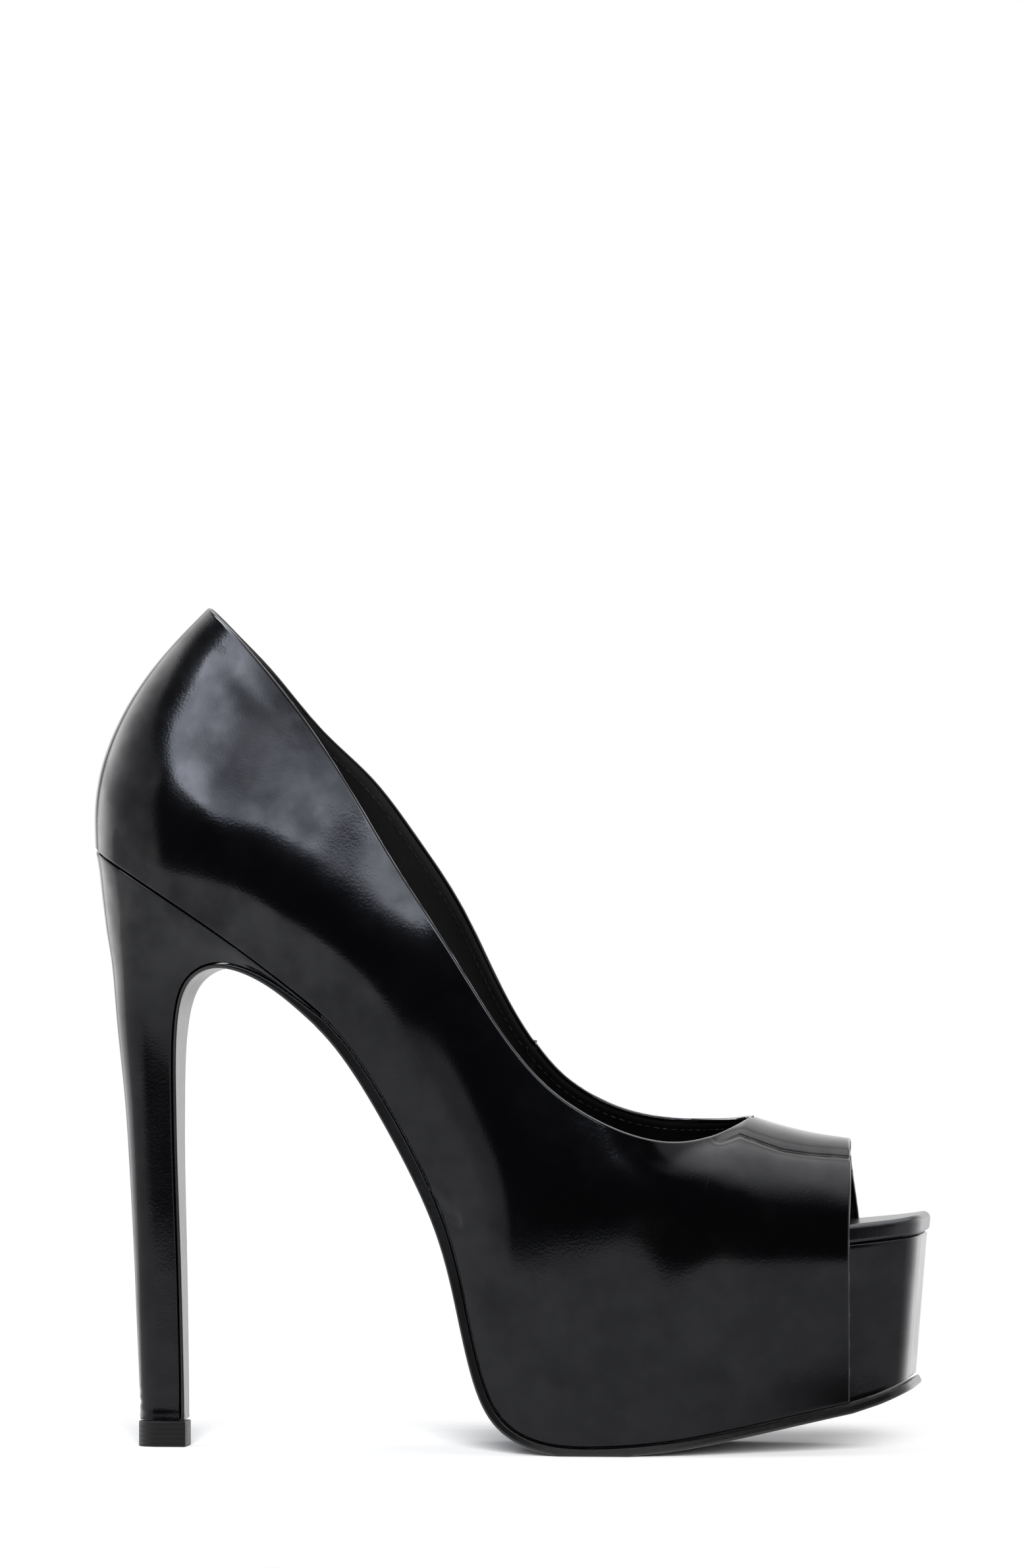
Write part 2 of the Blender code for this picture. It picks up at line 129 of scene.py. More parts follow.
# Inner side of the last, in the same columns
MEDIAL = (
    (0.0, 0.0, 14.0, 0.0, 196.0, 29.6, 0.0, 212.9),
    (11.5, 12.5, 16.8, 9.4, 194.8, 31.8, 7.0, 210.4),
    (19.0, 21.0, 23.2, 17.0, 189.4, 36.6, 13.8, 204.8),
    (22.6, 26.0, 33.0, 23.2, 179.0, 44.8, 18.6, 195.6),
    (22.4, 27.0, 49.2, 25.8, 168.5, 56.2, 22.6, 181.7),
    (20.8, 26.4, 64.0, 26.8, 153.5, 68.6, 25.2, 169.4),
    (20.0, 26.6, 76.6, 28.0, 140.5, 80.0, 27.0, 154.2),
    (21.5, 29.5, 88.8, 30.8, 124.0, 91.4, 28.6, 136.5),
    (25.5, 34.5, 101.0, 35.0, 103.5, 102.0, 32.4, 114.4),
    (29.0, 38.5, 112.2, 38.2, 88.5, 112.8, 34.8, 97.8),
    (32.5, 41.5, 122.8, 40.6, 80.0, 123.2, 36.2, 89.3),
    (35.5, 43.0, 133.6, 41.4, 76.2, 133.8, 35.6, 84.9),
    (38.2, 43.6, 144.4, 41.4, 73.4, 144.2, 35.2, 83.1),
    (39.3, 43.3, 154.4, 39.6, 73.4, 154.4, 28.8, 83.0),
    (39.0, 42.0, 162.6, 36.2, 74.0, 163.0, 16.0, 83.6),
    (37.0, 40.0, 169.8, 32.6, 74.2, 167.3, 0.0, 84.0),
    (33.8, 36.8, 181.4, 28.8, 73.2, 180.0, 0.0, 80.4),
    (29.5, 33.0, 191.5, 24.0, 71.2, 192.5, 0.0, 78.5),
)

# Heel from the seat to the top piece: inner face of the sole round the arch and down the front,
# sole thickness, half-width at the front, back edge, widest half-width, share of the depth that is round
HEEL = (
    # front_x, front_z, sole, front_y, back_x, back_z, side_y, round
    (61.4, 108.7, 2.6, 21.2, 0.6, 151.5, 23.0, 0.36),
    (54.6, 113.8, 1.9, 21.0, 1.4, 147.0, 21.9, 0.38),
    (45.6, 119.6, 1.5, 20.3, 2.0, 141.5, 20.2, 0.42),
    (34.7, 122.7, 1.1, 18.2, 2.7, 135.5, 17.9, 0.48),
    (26.4, 119.6, 0.9, 14.8, 3.6, 129.0, 15.3, 0.52),
    (22.5, 112.0, 0.8, 12.0, 4.8, 121.0, 12.9, 0.54),
    (21.2, 100.0, 0.8, 9.8, 6.0, 107.0, 10.8, 0.55),
    (21.1, 86.0, 0.8, 8.4, 7.8, 89.5, 9.2, 0.55),
    (21.3, 71.0, 0.8, 7.4, 9.0, 72.5, 8.0, 0.55),
    (21.9, 50.0, 0.8, 6.4, 10.2, 50.0, 6.7, 0.55),
    (22.3, 33.0, 0.8, 5.7, 10.9, 33.0, 5.9, 0.55),
    (22.6, 17.0, 0.8, 5.2, 11.6, 17.0, 5.3, 0.55),
    (22.7, TOP_PIECE_HEIGHT + GAP, 0.8, 5.0, 11.9, TOP_PIECE_HEIGHT + GAP, 5.1, 0.55),
)


class Curve:
    """A smooth curve through rows at knots, with free ends or a set slope at its end."""

    def __init__(self, knots, rows, end_slope=None):
        self.knots = np.asarray(knots, float)
        self.rows = np.asarray(rows, float)
        count = len(self.knots)
        self.steps = np.diff(self.knots)
        self.slopes = np.diff(self.rows, axis=0) / self.steps[:, None]
        matrix = np.eye(count)
        right = np.zeros_like(self.rows)
        for i in range(1, count - 1):
            before, after = self.steps[i - 1], self.steps[i]
            matrix[i, i - 1:i + 2] = before, 2 * (before + after), after
            right[i] = 6 * (self.slopes[i] - self.slopes[i - 1])
        if end_slope is not None:
            matrix[-1, -2:] = self.steps[-1], 2 * self.steps[-1]
            right[-1] = 6 * (end_slope - self.slopes[-1])
        self.bend = np.linalg.solve(matrix, right)

    def __call__(self, place):
        place = np.asarray(place, float)
        i = np.clip(np.searchsorted(self.knots, place, side="right") - 1, 0, len(self.steps) - 1)
        a = (place - self.knots[i])[..., None]
        h = self.steps[i][..., None]
        low, high = self.bend[i], self.bend[i + 1]
        return (self.rows[i] + a * (self.slopes[i] - h * (2 * low + high) / 6)
                + a ** 2 * low / 2 + a ** 3 * (high - low) / (6 * h))

    def end_slope(self):
        return self.slopes[-1] + self.steps[-1] * (self.bend[-2] + 2 * self.bend[-1]) / 6


def smooth_step(low, high, value):
    """0 below low, 1 above high and a smooth way between."""
    t = np.clip((value - low) / (high - low), 0.0, 1.0)
    return t * t * (3 - 2 * t)


def unit(vectors):
    """Vectors made one long."""
    return vectors / np.maximum(np.linalg.norm(vectors, axis=-1, keepdims=True), 1e-12)


def last_row(number):
    """Foot, belly, shoulder and top of one section; a negative number is the outer side."""
    station = abs(number)
    side = -1 if number < 0 else 1
    foot_x, foot_z, belly_x, belly_z = STATIONS[station][:4]
    table = LATERAL if number < 0 else MEDIAL
    foot_y, belly_y, shoulder_x, shoulder_y, shoulder_z, top_x, top_y, top_z = table[station]
    if station == PEEP_EDGE:
        belly_x -= PEEP_SLANT * side * belly_y
    return ((foot_x, side * foot_y, foot_z), (belly_x, side * belly_y, belly_z),
            (shoulder_x, side * shoulder_y, shoulder_z), (top_x, side * top_y, top_z))


def topline_row(number):
    """Top edge of a section; past the throat the other side's row, so that the edge crosses smoothly."""
    if abs(number) > THROAT:
        number = (2 * THROAT - abs(number)) * (-1 if number > 0 else 1)
    return last_row(number)[3]


RING = range(-PEEP_EDGE, PEEP_EDGE + 1)
BODY_LINES = [Curve(RING, [last_row(k)[line] for k in RING]) for line in range(3)]
TOPLINE = Curve(RING, [topline_row(k) for k in RING])
CROWN = Curve(range(THROAT, PEEP_EDGE + 1), [last_row(k)[3] for k in range(THROAT, PEEP_EDGE + 1)])
LEVELS = Curve(range(PEEP_EDGE + 1), [row[4:] for row in STATIONS])
HEEL_ROWS = Curve(range(len(HEEL)), HEEL)


def run_of(line):
    """Distance along a line of points to each of them."""
    return np.concatenate([[0.0], np.cumsum(np.linalg.norm(np.diff(line, axis=0), axis=1))])


def spots_along(line, run, places):
    """Points of a line at places along its run."""
    return np.stack([np.interp(places, run, line[:, k]) for k in range(3)], axis=1)


def curve_through(points):
    """A curve through points by length, and the lengths at them."""
    knots = run_of(points)
    return Curve(knots, points), knots


def section(place):
    """The curve of one section from foot to top edge, by length, and its whole length."""
    top = TOPLINE(place) if abs(place) <= THROAT else CROWN(abs(place))
    points = np.array([line(place) for line in BODY_LINES] + [top])
    loose, knots = curve_through(points)
    soft = loose(knots[1] * WALL_SHARE)
    stiff = points[0] + (points[1] - points[0]) * WALL_SHARE
    boxed = WALL_STIFFNESS * smooth_step(*WALL_STATIONS, abs(place))
    loose, knots = curve_through(np.insert(points, 1, soft + (stiff - soft) * boxed, axis=0))
    free = loose.end_slope()
    level = np.array([0.0, -math.copysign(1.0, place), 0.0])
    over = smooth_step(THROAT_SHOULDER, THROAT, abs(place))
    return Curve(knots, loose.rows, free * (1 - over) + level * over), knots[-1]


def wall(place, height, depth):
    """A point inside the upper's outer face, height millimetres above the foot line."""
    nudge = 0.02
    curve = section(place)[0]
    along = section(place + nudge)[0](height) - section(place - nudge)[0](height)
    upward = curve(height + nudge) - curve(max(height - nudge, 0.0))
    return curve(height) + depth * unit(np.cross(along, upward))


def levels(place):
    """Height of the insole's underside, insole thickness and sole thickness at a station."""
    bed, insole, sole = LEVELS(min(abs(place), PEEP_EDGE))
    return max(bed, 0.0), insole, sole


# Meshes: points closer than this are one, in metres, and edges sharper than this show
WELD = 0.000001
SHARP_DEGREES = 50


def to_frame(points):
    """Millimetres from the back of the heel to metres in the frame of the solids."""
    return (np.asarray(points, float) - (LENGTH / 2, SIDE_SHIFT, 0.0)) / 1000


def piece(name, points, faces, material, attributes=None):
    """One named mesh from points in millimetres, merged, smooth and facing outwards."""
    shape = bpy.data.meshes.new(name)
    shape.from_pydata(to_frame(points).tolist(), [], [tuple(int(i) for i in face) for face in faces])
    for label, values in (attributes or {}).items():
        attribute = shape.attributes.new(label, "FLOAT", "POINT")
        attribute.data.foreach_set("value", np.asarray(values, np.float32))
    form = bmesh.new()
    form.from_mesh(shape)
    bmesh.ops.remove_doubles(form, verts=form.verts, dist=WELD)
    bmesh.ops.dissolve_degenerate(form, edges=form.edges, dist=WELD)
    bmesh.ops.delete(form, geom=[v for v in form.verts if not v.link_faces], context="VERTS")
    bmesh.ops.recalc_face_normals(form, faces=form.faces)
    form.to_mesh(shape)
    form.free()
    shape.shade_smooth()
    shape.set_sharp_from_angle(angle=math.radians(SHARP_DEGREES))
    thing = bpy.data.objects.new(name, shape)
    bpy.context.scene.collection.objects.link(thing)
    shape.materials.append(material)
    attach(thing, "root")
    return thing


# Upper: thickness of the leather, radius of its turned edges, radii of its foot at the heel seat and under
# the platform, and how many stations past the platform's back the change takes
LEATHER_WALL = 1.1
EDGE_RADIUS = LEATHER_WALL / 2
FOOT_RADIUS = (0.8, 1.0)
FOOT_EASE = 2
# Its grid: columns a station, rows in the middle of a section and closer ones at its ends, closer columns
# at the peep edge, the throat and the seam
COLUMN_STEPS = 14
MIDDLE_ROWS = 74
LOW_ROWS = (0.0, 0.12, 0.35, 0.7, 1.1, 1.6, 2.2)
HIGH_ROWS = (2.2, 1.5, 1.0, 0.65, 0.4, 0.22, 0.09, 0.0)
EDGE_COLUMNS = (0.006, 0.015, 0.028, 0.045, 0.07)
THROAT_COLUMNS = (0.01, 0.025, 0.045, 0.07)
SEAM_COLUMNS = (0.012, 0.03)
# Steps along the turned edges, depth below the topline down to which the distance from them is measured,
# and the distance that stands for what lies deeper
EDGE_PITCH = 0.12
EDGE_REACH = 12.0
EDGE_FAR = 9.0

# Side seam on the inner side: its station, the step of the lapped edge and how far the lap runs forward
SEAM = 8.65
SEAM_STEP = 0.4
SEAM_LAP = 0.9

# Creases and dents of the upper, each a soft trough along a path of places; a depth below 0 is a ridge
FOLD = ((-13.6, 83.4), (-14.4, 83.8), (-15.1, 78.6), (-15.7, 72.8), (-16.2, 70.0), (-17.0, 66.9))
CREASES = (
    # width, depth, path of (station, height)
    (1.9, 0.70, FOLD),
    (5.0, -0.14, ((-12.8, 77.0), (-14.6, 74.5), (-15.4, 67.5), (-16.2, 61.5), (-17.0, 59.0))),
    (2.3, 0.42, ((13.6, 84.0), (15.1, 79.0), (16.0, 73.5), (17.0, 68.0))),
    (2.8, 0.12, ((-2.2, 61.0), (-2.7, 58.8), (-3.3, 56.0))),
    (0.9, 0.05, ((-3.4, 56.0), (-3.5, 59.5))),
    (0.9, 0.05, ((-3.65, 54.5), (-3.8, 58.5))),
    (0.9, 0.04, ((-3.95, 53.5), (-4.1, 57.0))),
    (1.0, 0.45, ((-7.9, 1.0), (-8.25, 7.5))),
    (1.4, -0.25, ((-7.7, 1.0), (-7.95, 6.0))),
    (5.0, 0.22, ((-9.2, 15.0), (-9.9, 22.0))),
    (6.0, 0.25, ((-10.3, 22.0), (-11.6, 27.0))),
    (5.0, 0.18, ((-11.2, 12.0), (-12.4, 20.0))),
    (0.9, 0.08, ((3.5, 55.0), (3.7, 59.5))),
    (1.6, 0.12, ((5.6, 40.0), (6.1, 46.0))),
)
# Points between two places of a path, widths beyond which a crease isn't felt, and the distance that
# stands for what lies beyond the ends of the fold
CREASE_POINTS = 24
CREASE_REACH = 3
FOLD_FAR = 20.0


def both_sides(place, steps):
    """A place, and places at steps before and after it."""
    return np.concatenate([place - np.array(steps), [place], place + np.array(steps)])


def column_places():
    """Stations of the upper's columns, closer at the peep edge, the throat and the seam."""
    plain = np.arange(PEEP_EDGE * COLUMN_STEPS + 1) / COLUMN_STEPS
    edges = PEEP_EDGE - np.array(EDGE_COLUMNS)
    close = (both_sides(THROAT, THROAT_COLUMNS), both_sides(SEAM, SEAM_COLUMNS))
    half = np.unique(np.round(np.concatenate([plain, edges, *close]), 4))
    return np.concatenate([-half[:0:-1], half])


def row_heights(length):
    """Heights of the rows up a section of this length."""
    middle = np.linspace(LOW_ROWS[-1], length - HIGH_ROWS[0], MIDDLE_ROWS + 2)[1:-1]
    return np.concatenate([LOW_ROWS, middle, length - np.array(HIGH_ROWS)])


def grid_faces(index):
    """Faces of a grid of point numbers."""
    corners = (index[:-1, :-1], index[1:, :-1], index[1:, 1:], index[:-1, 1:])
    return np.stack([corner.ravel() for corner in corners], axis=1)


def sheet_normals(points, faces):
    """Normals of a sheet at its points, pointing away from the foot."""
    shape = bpy.data.meshes.new("scratch")
    shape.from_pydata(points.tolist(), [], faces.tolist())
    normals = np.zeros(len(points) * 3, np.float32)
    shape.vertex_normals.foreach_get("vector", normals)
    bpy.data.meshes.remove(shape)
    normals = normals.reshape(-1, 3).astype(float)
    return normals if np.sum(normals[:, 1] * points[:, 1]) > 0 else -normals


def dense(line):
    """A line of points at even small steps."""
    run = run_of(line)
    return spots_along(line, run, np.arange(0.0, run[-1], EDGE_PITCH))


def nearest(points, targets):
    """Distance from each point to the nearest target."""
    tree = kdtree.KDTree(len(targets))
    for i, target in enumerate(targets):
        tree.insert(target, i)
    tree.balance()
    return np.array([tree.find(point)[2] for point in points])


def crease_line(path):
    """Points of the last along a path of (station, height) places."""
    stops = np.array(path)
    shares = np.linspace(0.0, len(stops) - 1, CREASE_POINTS * (len(stops) - 1) + 1)
    places = [np.interp(shares, range(len(stops)), stops[:, k]) for k in range(2)]
    return np.array([section(place)[0](height) for place, height in zip(*places)])


def crease_depth(points):
    """How far the creases sink each point, in millimetres."""
    sunk = np.zeros(len(points))
    for width, depth, path in CREASES:
        line = crease_line(path)
        low, high = line.min(0) - CREASE_REACH * width, line.max(0) + CREASE_REACH * width
        close = ((points > low) & (points < high)).all(1)
        away = nearest(points[close], line)
        sunk[close] += depth * np.exp(-(away / width) ** 2)
    return sunk


class Skin:
    """The upper's outer face: a grid of points, normals, heights and distances from the turned edges."""

    def __init__(self):
        self.places = column_places()
        curves = [section(place) for place in self.places]
        self.heights = np.array([row_heights(length) for curve, length in curves])
        grid = np.array([curve(rows) for (curve, length), rows in zip(curves, self.heights)])
        self.columns, self.rows = grid.shape[:2]
        self.index = np.arange(self.columns * self.rows).reshape(self.columns, self.rows)
        self.crown = np.abs(self.places) > THROAT
        for column in np.flatnonzero(self.crown & (self.places > 0)):
            self.index[column, -1] = self.index[self.columns - 1 - column, -1]
        self.faces = grid_faces(self.index)
        points = grid.reshape(-1, 3)
        normals = sheet_normals(points, self.faces)
        points = points - crease_depth(points)[:, None] * normals
        lap = np.repeat(self.places, self.rows) - SEAM
        points += (SEAM_STEP * (lap >= 0) * (1 - smooth_step(0.0, SEAM_LAP, lap)))[:, None] * normals
        twins = self.index.ravel()
        self.points, self.normals = points[twins], sheet_normals(points, self.faces)[twins]
        shaped = self.points.reshape(grid.shape)
        rim = [dense(shaped[~self.crown][:, -1])] + [dense(shaped[column]) for column in (0, -1)]
        self.edge = np.full(len(points), EDGE_FAR)
        low = self.heights.max(1, keepdims=True) - self.heights > EDGE_REACH
        inner_columns = (np.abs(self.places) < PEEP_EDGE - 1)[:, None]
        near = ~(low & inner_columns).ravel()
        self.edge[near] = nearest(self.points[near], np.concatenate(rim))

    def sunk(self, depth):
        """The grid at a depth below the outer face, one for all or one a point."""
        return self.points - np.broadcast_to(depth, len(self.points))[:, None] * self.normals

    def fold(self):
        """Height above the sharp fold across the vamp, and far from it beyond its ends."""
        stations, heights = np.array(FOLD[::-1]).T
        above = self.heights - np.interp(self.places, stations, heights)[:, None]
        beyond = (self.places < stations[0]) | (self.places > stations[-1])
        return np.where(beyond[:, None], FOLD_FAR, above).ravel()


def round_off(radius, away):
    """Depth of a rounded edge at a distance from it."""
    rest = radius - np.minimum(away, radius)
    return radius - np.sqrt(np.maximum(radius ** 2 - rest ** 2, 0.0))


def make_upper(skin, leather):
    """Polished leather from the feather edge at the sole to the turned topline and peep edge."""
    place = np.abs(np.repeat(skin.places, skin.rows))
    height = skin.heights.ravel()
    seat = 1 - smooth_step(SEAT_END, PLATFORM_BACK + FOOT_EASE, place)
    foot = round_off(FOOT_RADIUS[1] + (FOOT_RADIUS[0] - FOOT_RADIUS[1]) * seat, height)
    rolled = round_off(EDGE_RADIUS, skin.edge)
    outer = skin.sunk(np.maximum(rolled, foot))
    inner = skin.sunk(np.maximum(LEATHER_WALL - rolled, foot + EDGE_RADIUS))
    count = len(outer)
    inside = skin.index + count
    inside[~skin.crown, -1] = skin.index[~skin.crown, -1]
    inside[[0, -1]] = skin.index[[0, -1]]
    rim = np.stack([skin.index[:-1, 0], inside[:-1, 0], inside[1:, 0], skin.index[1:, 0]], axis=1)
    faces = np.concatenate([skin.faces, grid_faces(inside)[:, ::-1], rim])
    marks = {"edge": np.tile(skin.edge, 2), "fold": np.tile(skin.fold(), 2)}
    return piece("upper_leather", np.concatenate([outer, inner]), faces.tolist(), leather, marks)


# Lining: depth of its two faces and the least distance between them, how far its inner face rises under
# the turned leather and at which distances from the edge, and its start below the top of the footbed
LINING_DEPTHS = (1.15, UPPER_WALL)
LINING_LEAST = 0.05
LINING_LIFT = 0.3
LINING_TUCK = (0.4, 1.6)
LINING_FOOT = 0.6
# Its grid: rows, how they crowd towards the top edge, and one column for so many of the leather's
LINING_ROWS = 40
LINING_CROWDING = 0.85
LINING_SKIP = 2

# Heel grip, a soft pad in the back of the lining: stations over which it thins out at the sides, distances
# below the topline over which it starts and ends, and how proud it stands
GRIP_SIDE = (1.92, 2.4)
GRIP_TOP = (1.5, 4.5)
GRIP_END = (29.0, 34.0)
GRIP_PROUD = 1.1


def lining_depth(place, below, edge):
    """Depth of the lining's inner face: under the leather at the edge, and proud over the heel grip."""
    tuck = smooth_step(*LINING_TUCK, edge)
    across = 1 - smooth_step(*GRIP_SIDE, abs(place))
    down = smooth_step(*GRIP_TOP, below) * (1 - smooth_step(*GRIP_END, below))
    shallow = LINING_DEPTHS[0] - LINING_LIFT
    return shallow + (LINING_DEPTHS[1] - shallow) * tuck + GRIP_PROUD * across * down


def make_lining(skin, fabric):
    """The soft inside of the upper, from the footbed to just under the topline."""
    picked = list(range(0, skin.columns, LINING_SKIP))
    picked = sorted(set(picked) | {skin.columns - 1 - column for column in picked})
    points = skin.points.reshape(skin.columns, skin.rows, 3)
    normals = skin.normals.reshape(skin.columns, skin.rows, 3)
    edges = skin.edge.reshape(skin.columns, skin.rows)
    back, face = [], []
    for column in picked:
        place, rows = skin.places[column], skin.heights[column]
        bed, thick = levels(place)[:2]
        start = bed + thick - LINING_FOOT
        heights = start + (rows[-1] - start) * np.linspace(0.0, 1.0, LINING_ROWS) ** LINING_CROWDING
        spot = spots_along(points[column], rows, heights)
        lean = unit(spots_along(normals[column], rows, heights))
        edge = np.interp(heights, rows, edges[column])
        depth = lining_depth(place, rows[-1] - heights, edge)
        under = np.minimum(LINING_DEPTHS[0], depth - LINING_LEAST)
        back.append(spot - under[:, None] * lean)
        face.append(spot - depth[:, None] * lean)
    count = len(picked) * LINING_ROWS
    outside = np.arange(count).reshape(len(picked), LINING_ROWS)
    inside = outside + count
    for grid in (outside, inside):
        for i, column in enumerate(picked):
            if skin.crown[column] and skin.places[column] > 0:
                grid[i, -1] = grid[len(picked) - 1 - i, -1]
    faces = [grid_faces(outside), grid_faces(inside)[:, ::-1]]
    open_top = [i for i, column in enumerate(picked) if abs(skin.places[column]) <= THROAT]
    for line in (lambda g: g[:, 0], lambda g: g[open_top, -1], lambda g: g[0], lambda g: g[-1]):
        a, b = line(outside), line(inside)
        faces.append(np.stack([a[:-1], b[:-1], b[1:], a[1:]], axis=1))
    return piece("lining", np.concatenate(back + face), np.concatenate(faces).tolist(), fabric)


# Slabs: rows round an edge, shares of the side at which it has rows, strips across, points round the
# toe's corner, rows a station
EDGE_ROWS = 5
SIDE_ROWS = (0.03, 0.3, 0.7, 0.97)
ACROSS = 16
TOE_POINTS = 40
SLAB_STEPS = 8
SHARES = np.linspace(0.0, 1.0, ACROSS + 1)


def ring_of(rows):
    """Boundary of a pad from its rows of outer and inner edge points, once round."""
    between = SHARES[1:-1, None]
    front = rows[-1, 0] + (rows[-1, 1] - rows[-1, 0]) * between
    back = rows[0, 1] + (rows[0, 0] - rows[0, 1]) * between
    return np.concatenate([rows[:, 0], front, rows[::-1, 1], back])


def fill_of(ring, count):
    """Grid across a pad from its boundary."""
    outer, front, rest = ring[:count], ring[count:count + ACROSS - 1], ring[count + ACROSS - 1:]
    inner, back = rest[:count][::-1], rest[count:]
    grid = outer[:, None] + (inner - outer)[:, None] * SHARES[None, :, None]
    grid[-1, 1:-1] = front
    grid[0, 1:-1] = back[::-1]
    return grid


def slab(name, low, high, low_radius, high_radius, material, cup=0.0):
    """A pad between two faces given as rows of outer and inner edge points, with rounded edges."""
    low, high = np.asarray(low, float), np.asarray(high, float)
    count = len(low)
    edge = np.concatenate([high[:, 0], high[::-1, 1]])
    under = np.concatenate([low[:, 0], low[::-1, 1]])
    tangent = np.roll(edge, -1, axis=0) - np.roll(edge, 1, axis=0)
    inward = unit(np.cross(edge - under, tangent))
    if np.sum(inward * (edge.mean(0) - edge)) < 0:
        inward = -inward
    inward = np.stack([inward[:count], inward[count:][::-1]], axis=1)
    inward, over, under = unit(ring_of(inward)), ring_of(high), ring_of(low)
    up = unit(over - under)
    turns = np.linspace(0.0, math.pi / 2, EDGE_ROWS)
    loops = [under + low_radius * ((1 - math.cos(t)) * up + (1 - math.sin(t)) * inward) for t in turns]
    rounded = [over + high_radius * ((math.cos(t) - 1) * up + (1 - math.sin(t)) * inward)
               for t in turns[::-1]]
    loops += [loops[-1] + (rounded[0] - loops[-1]) * share for share in SIDE_ROWS] + rounded
    points = np.concatenate(loops)
    index = np.arange(len(points)).reshape(len(loops), -1)
    faces = [grid_faces(np.concatenate([index, index[:, :1]], axis=1))]
    hollow = np.broadcast_to(cup, count)[:, None] * (1 - (2 * SHARES - 1) ** 2)[None]
    for loop, sunk in ((loops[0], 0.0), (loops[-1], hollow[..., None])):
        grid = fill_of(loop, count) - sunk * fill_of(up, count)
        faces.append(grid_faces(np.arange(grid[..., 0].size).reshape(grid.shape[:2]) + len(points)))
        points = np.concatenate([points, grid.reshape(-1, 3)])
    return piece(name, points, np.concatenate(faces).tolist(), material)


def toe_rows(base, front_x, front_z):
    """Rows of the squared toe from the peep edge to the tip."""
    turns = np.linspace(0.0, math.pi / 2, TOE_POINTS + 1)[1:]
    rows = []
    for share, narrow in zip(np.sin(turns) ** (2 / TOE_SQUARENESS),
                             np.maximum(np.cos(turns), 0.0) ** (2 / TOE_SQUARENESS)):
        rise = share * (1 - TOE_LATE_RISE + TOE_LATE_RISE * share)
        rows.append([(x + (front_x - x) * share,
                      math.copysign((abs(y) + (TOE_HALF_WIDTH - abs(y)) * share) * narrow, y),
                      z + (front_z - z) * rise) for x, y, z in base])
    return rows


def places_between(first, last):
    """Stations of a slab's rows."""
    return np.linspace(first, last, round((last - first) * SLAB_STEPS) + 1)


# Footbed and platform: depth inside the upper, edge radii, hollow of the footbed and the stations over
# which it starts and ends, and how far the underside of the footbed's rim is drawn in at the toe
PAD_DEPTH = UPPER_WALL + GAP
FOOTBED_RADII = (1.0, 1.7)
PLATFORM_RADII = (0.35, 0.6)
FOOTBED_HOLLOW = 1.1
HOLLOW_START = (0.0, 2.0)
HOLLOW_END = (13.0, PEEP_EDGE)
RIM_LEAN = 0.5


def wall_rows(places, height_of):
    """Rows of a pad inside the upper, at a height that may change along it."""
    return [[wall(-place, height_of(place), PAD_DEPTH), wall(place, height_of(place), PAD_DEPTH)]
            for place in places]


def make_footbed(material):
    """The covered insole with its rolled rim at the toe."""
    places = places_between(0.0, PEEP_EDGE)
    low = wall_rows(places, lambda place: levels(place)[0] + GAP)
    high = wall_rows(places, lambda place: sum(levels(place)[:2]))
    front_x, low_z, high_z = INSOLE_FRONT
    base = [(x, y - math.copysign(RIM_LEAN, y), z) for x, y, z in low[-1]]
    low += toe_rows(base, front_x - RIM_LEAN, low_z)
    high += toe_rows(high[-1], front_x, high_z)
    cup = FOOTBED_HOLLOW * smooth_step(*HOLLOW_START, places) * (1 - smooth_step(*HOLLOW_END, places))
    flat_toe = np.zeros(TOE_POINTS)
    return slab("footbed", low, high, *FOOTBED_RADII, material, np.concatenate([cup, flat_toe]))


def make_platform(material):
    """The wrapped platform, bare at the toe."""
    places = places_between(PLATFORM_BACK, PEEP_EDGE)
    low = wall_rows(places, lambda place: 0.0)
    high = wall_rows(places, lambda place: levels(place)[0])
    low += toe_rows(low[-1], PLATFORM_FRONT[0], OUTSOLE_FRONT[1])
    high += toe_rows(high[-1], PLATFORM_FRONT[1], INSOLE_FRONT[1] - GAP)
    return slab("platform_cover", low, high, *PLATFORM_RADII, material)


# Sole: rows from one row of the heel's table to the next, rows over which the outline of the seat goes
# over into the heel, and edge radii
HEEL_STEPS = 8
SEAT_ROWS = 3
SOLE_RADII = (0.7, 0.25)


def seat_share(level):
    """How much of the seat's own outline a slice of the heel keeps."""
    return 1 - smooth_step(0, SEAT_ROWS, level)


def sole_path():
    """Inner face of the sole from the top piece to the toe: x, z, thickness, outer and inner half-width."""
    path = []
    outer_end, inner_end = -BODY_LINES[0](-SEAT_END)[1], BODY_LINES[0](SEAT_END)[1]
    for level in np.linspace(len(HEEL) - 1, 0, (len(HEEL) - 1) * HEEL_STEPS + 1)[:-1]:
        front_x, front_z, thick, front_y = HEEL_ROWS(level)[:4]
        start_y, share = HEEL[0][3], seat_share(level)
        path.append((front_x, front_z, thick, front_y + (outer_end - start_y) * share,
                     front_y + (inner_end - start_y) * share))
    for place in places_between(SEAT_END, PEEP_EDGE):
        outer, inner = [BODY_LINES[0](side * place) for side in (-1, 1)]
        path.append((outer[0], outer[2], levels(place)[2], -outer[1], inner[1]))
    base = [BODY_LINES[0](side * PEEP_EDGE) for side in (-1, 1)]
    for outer, inner in toe_rows(base, *OUTSOLE_FRONT):
        path.append((outer[0], outer[2], path[-1][2], SOLE_RIM - outer[1], inner[1] + SOLE_RIM))
    return np.array(path)


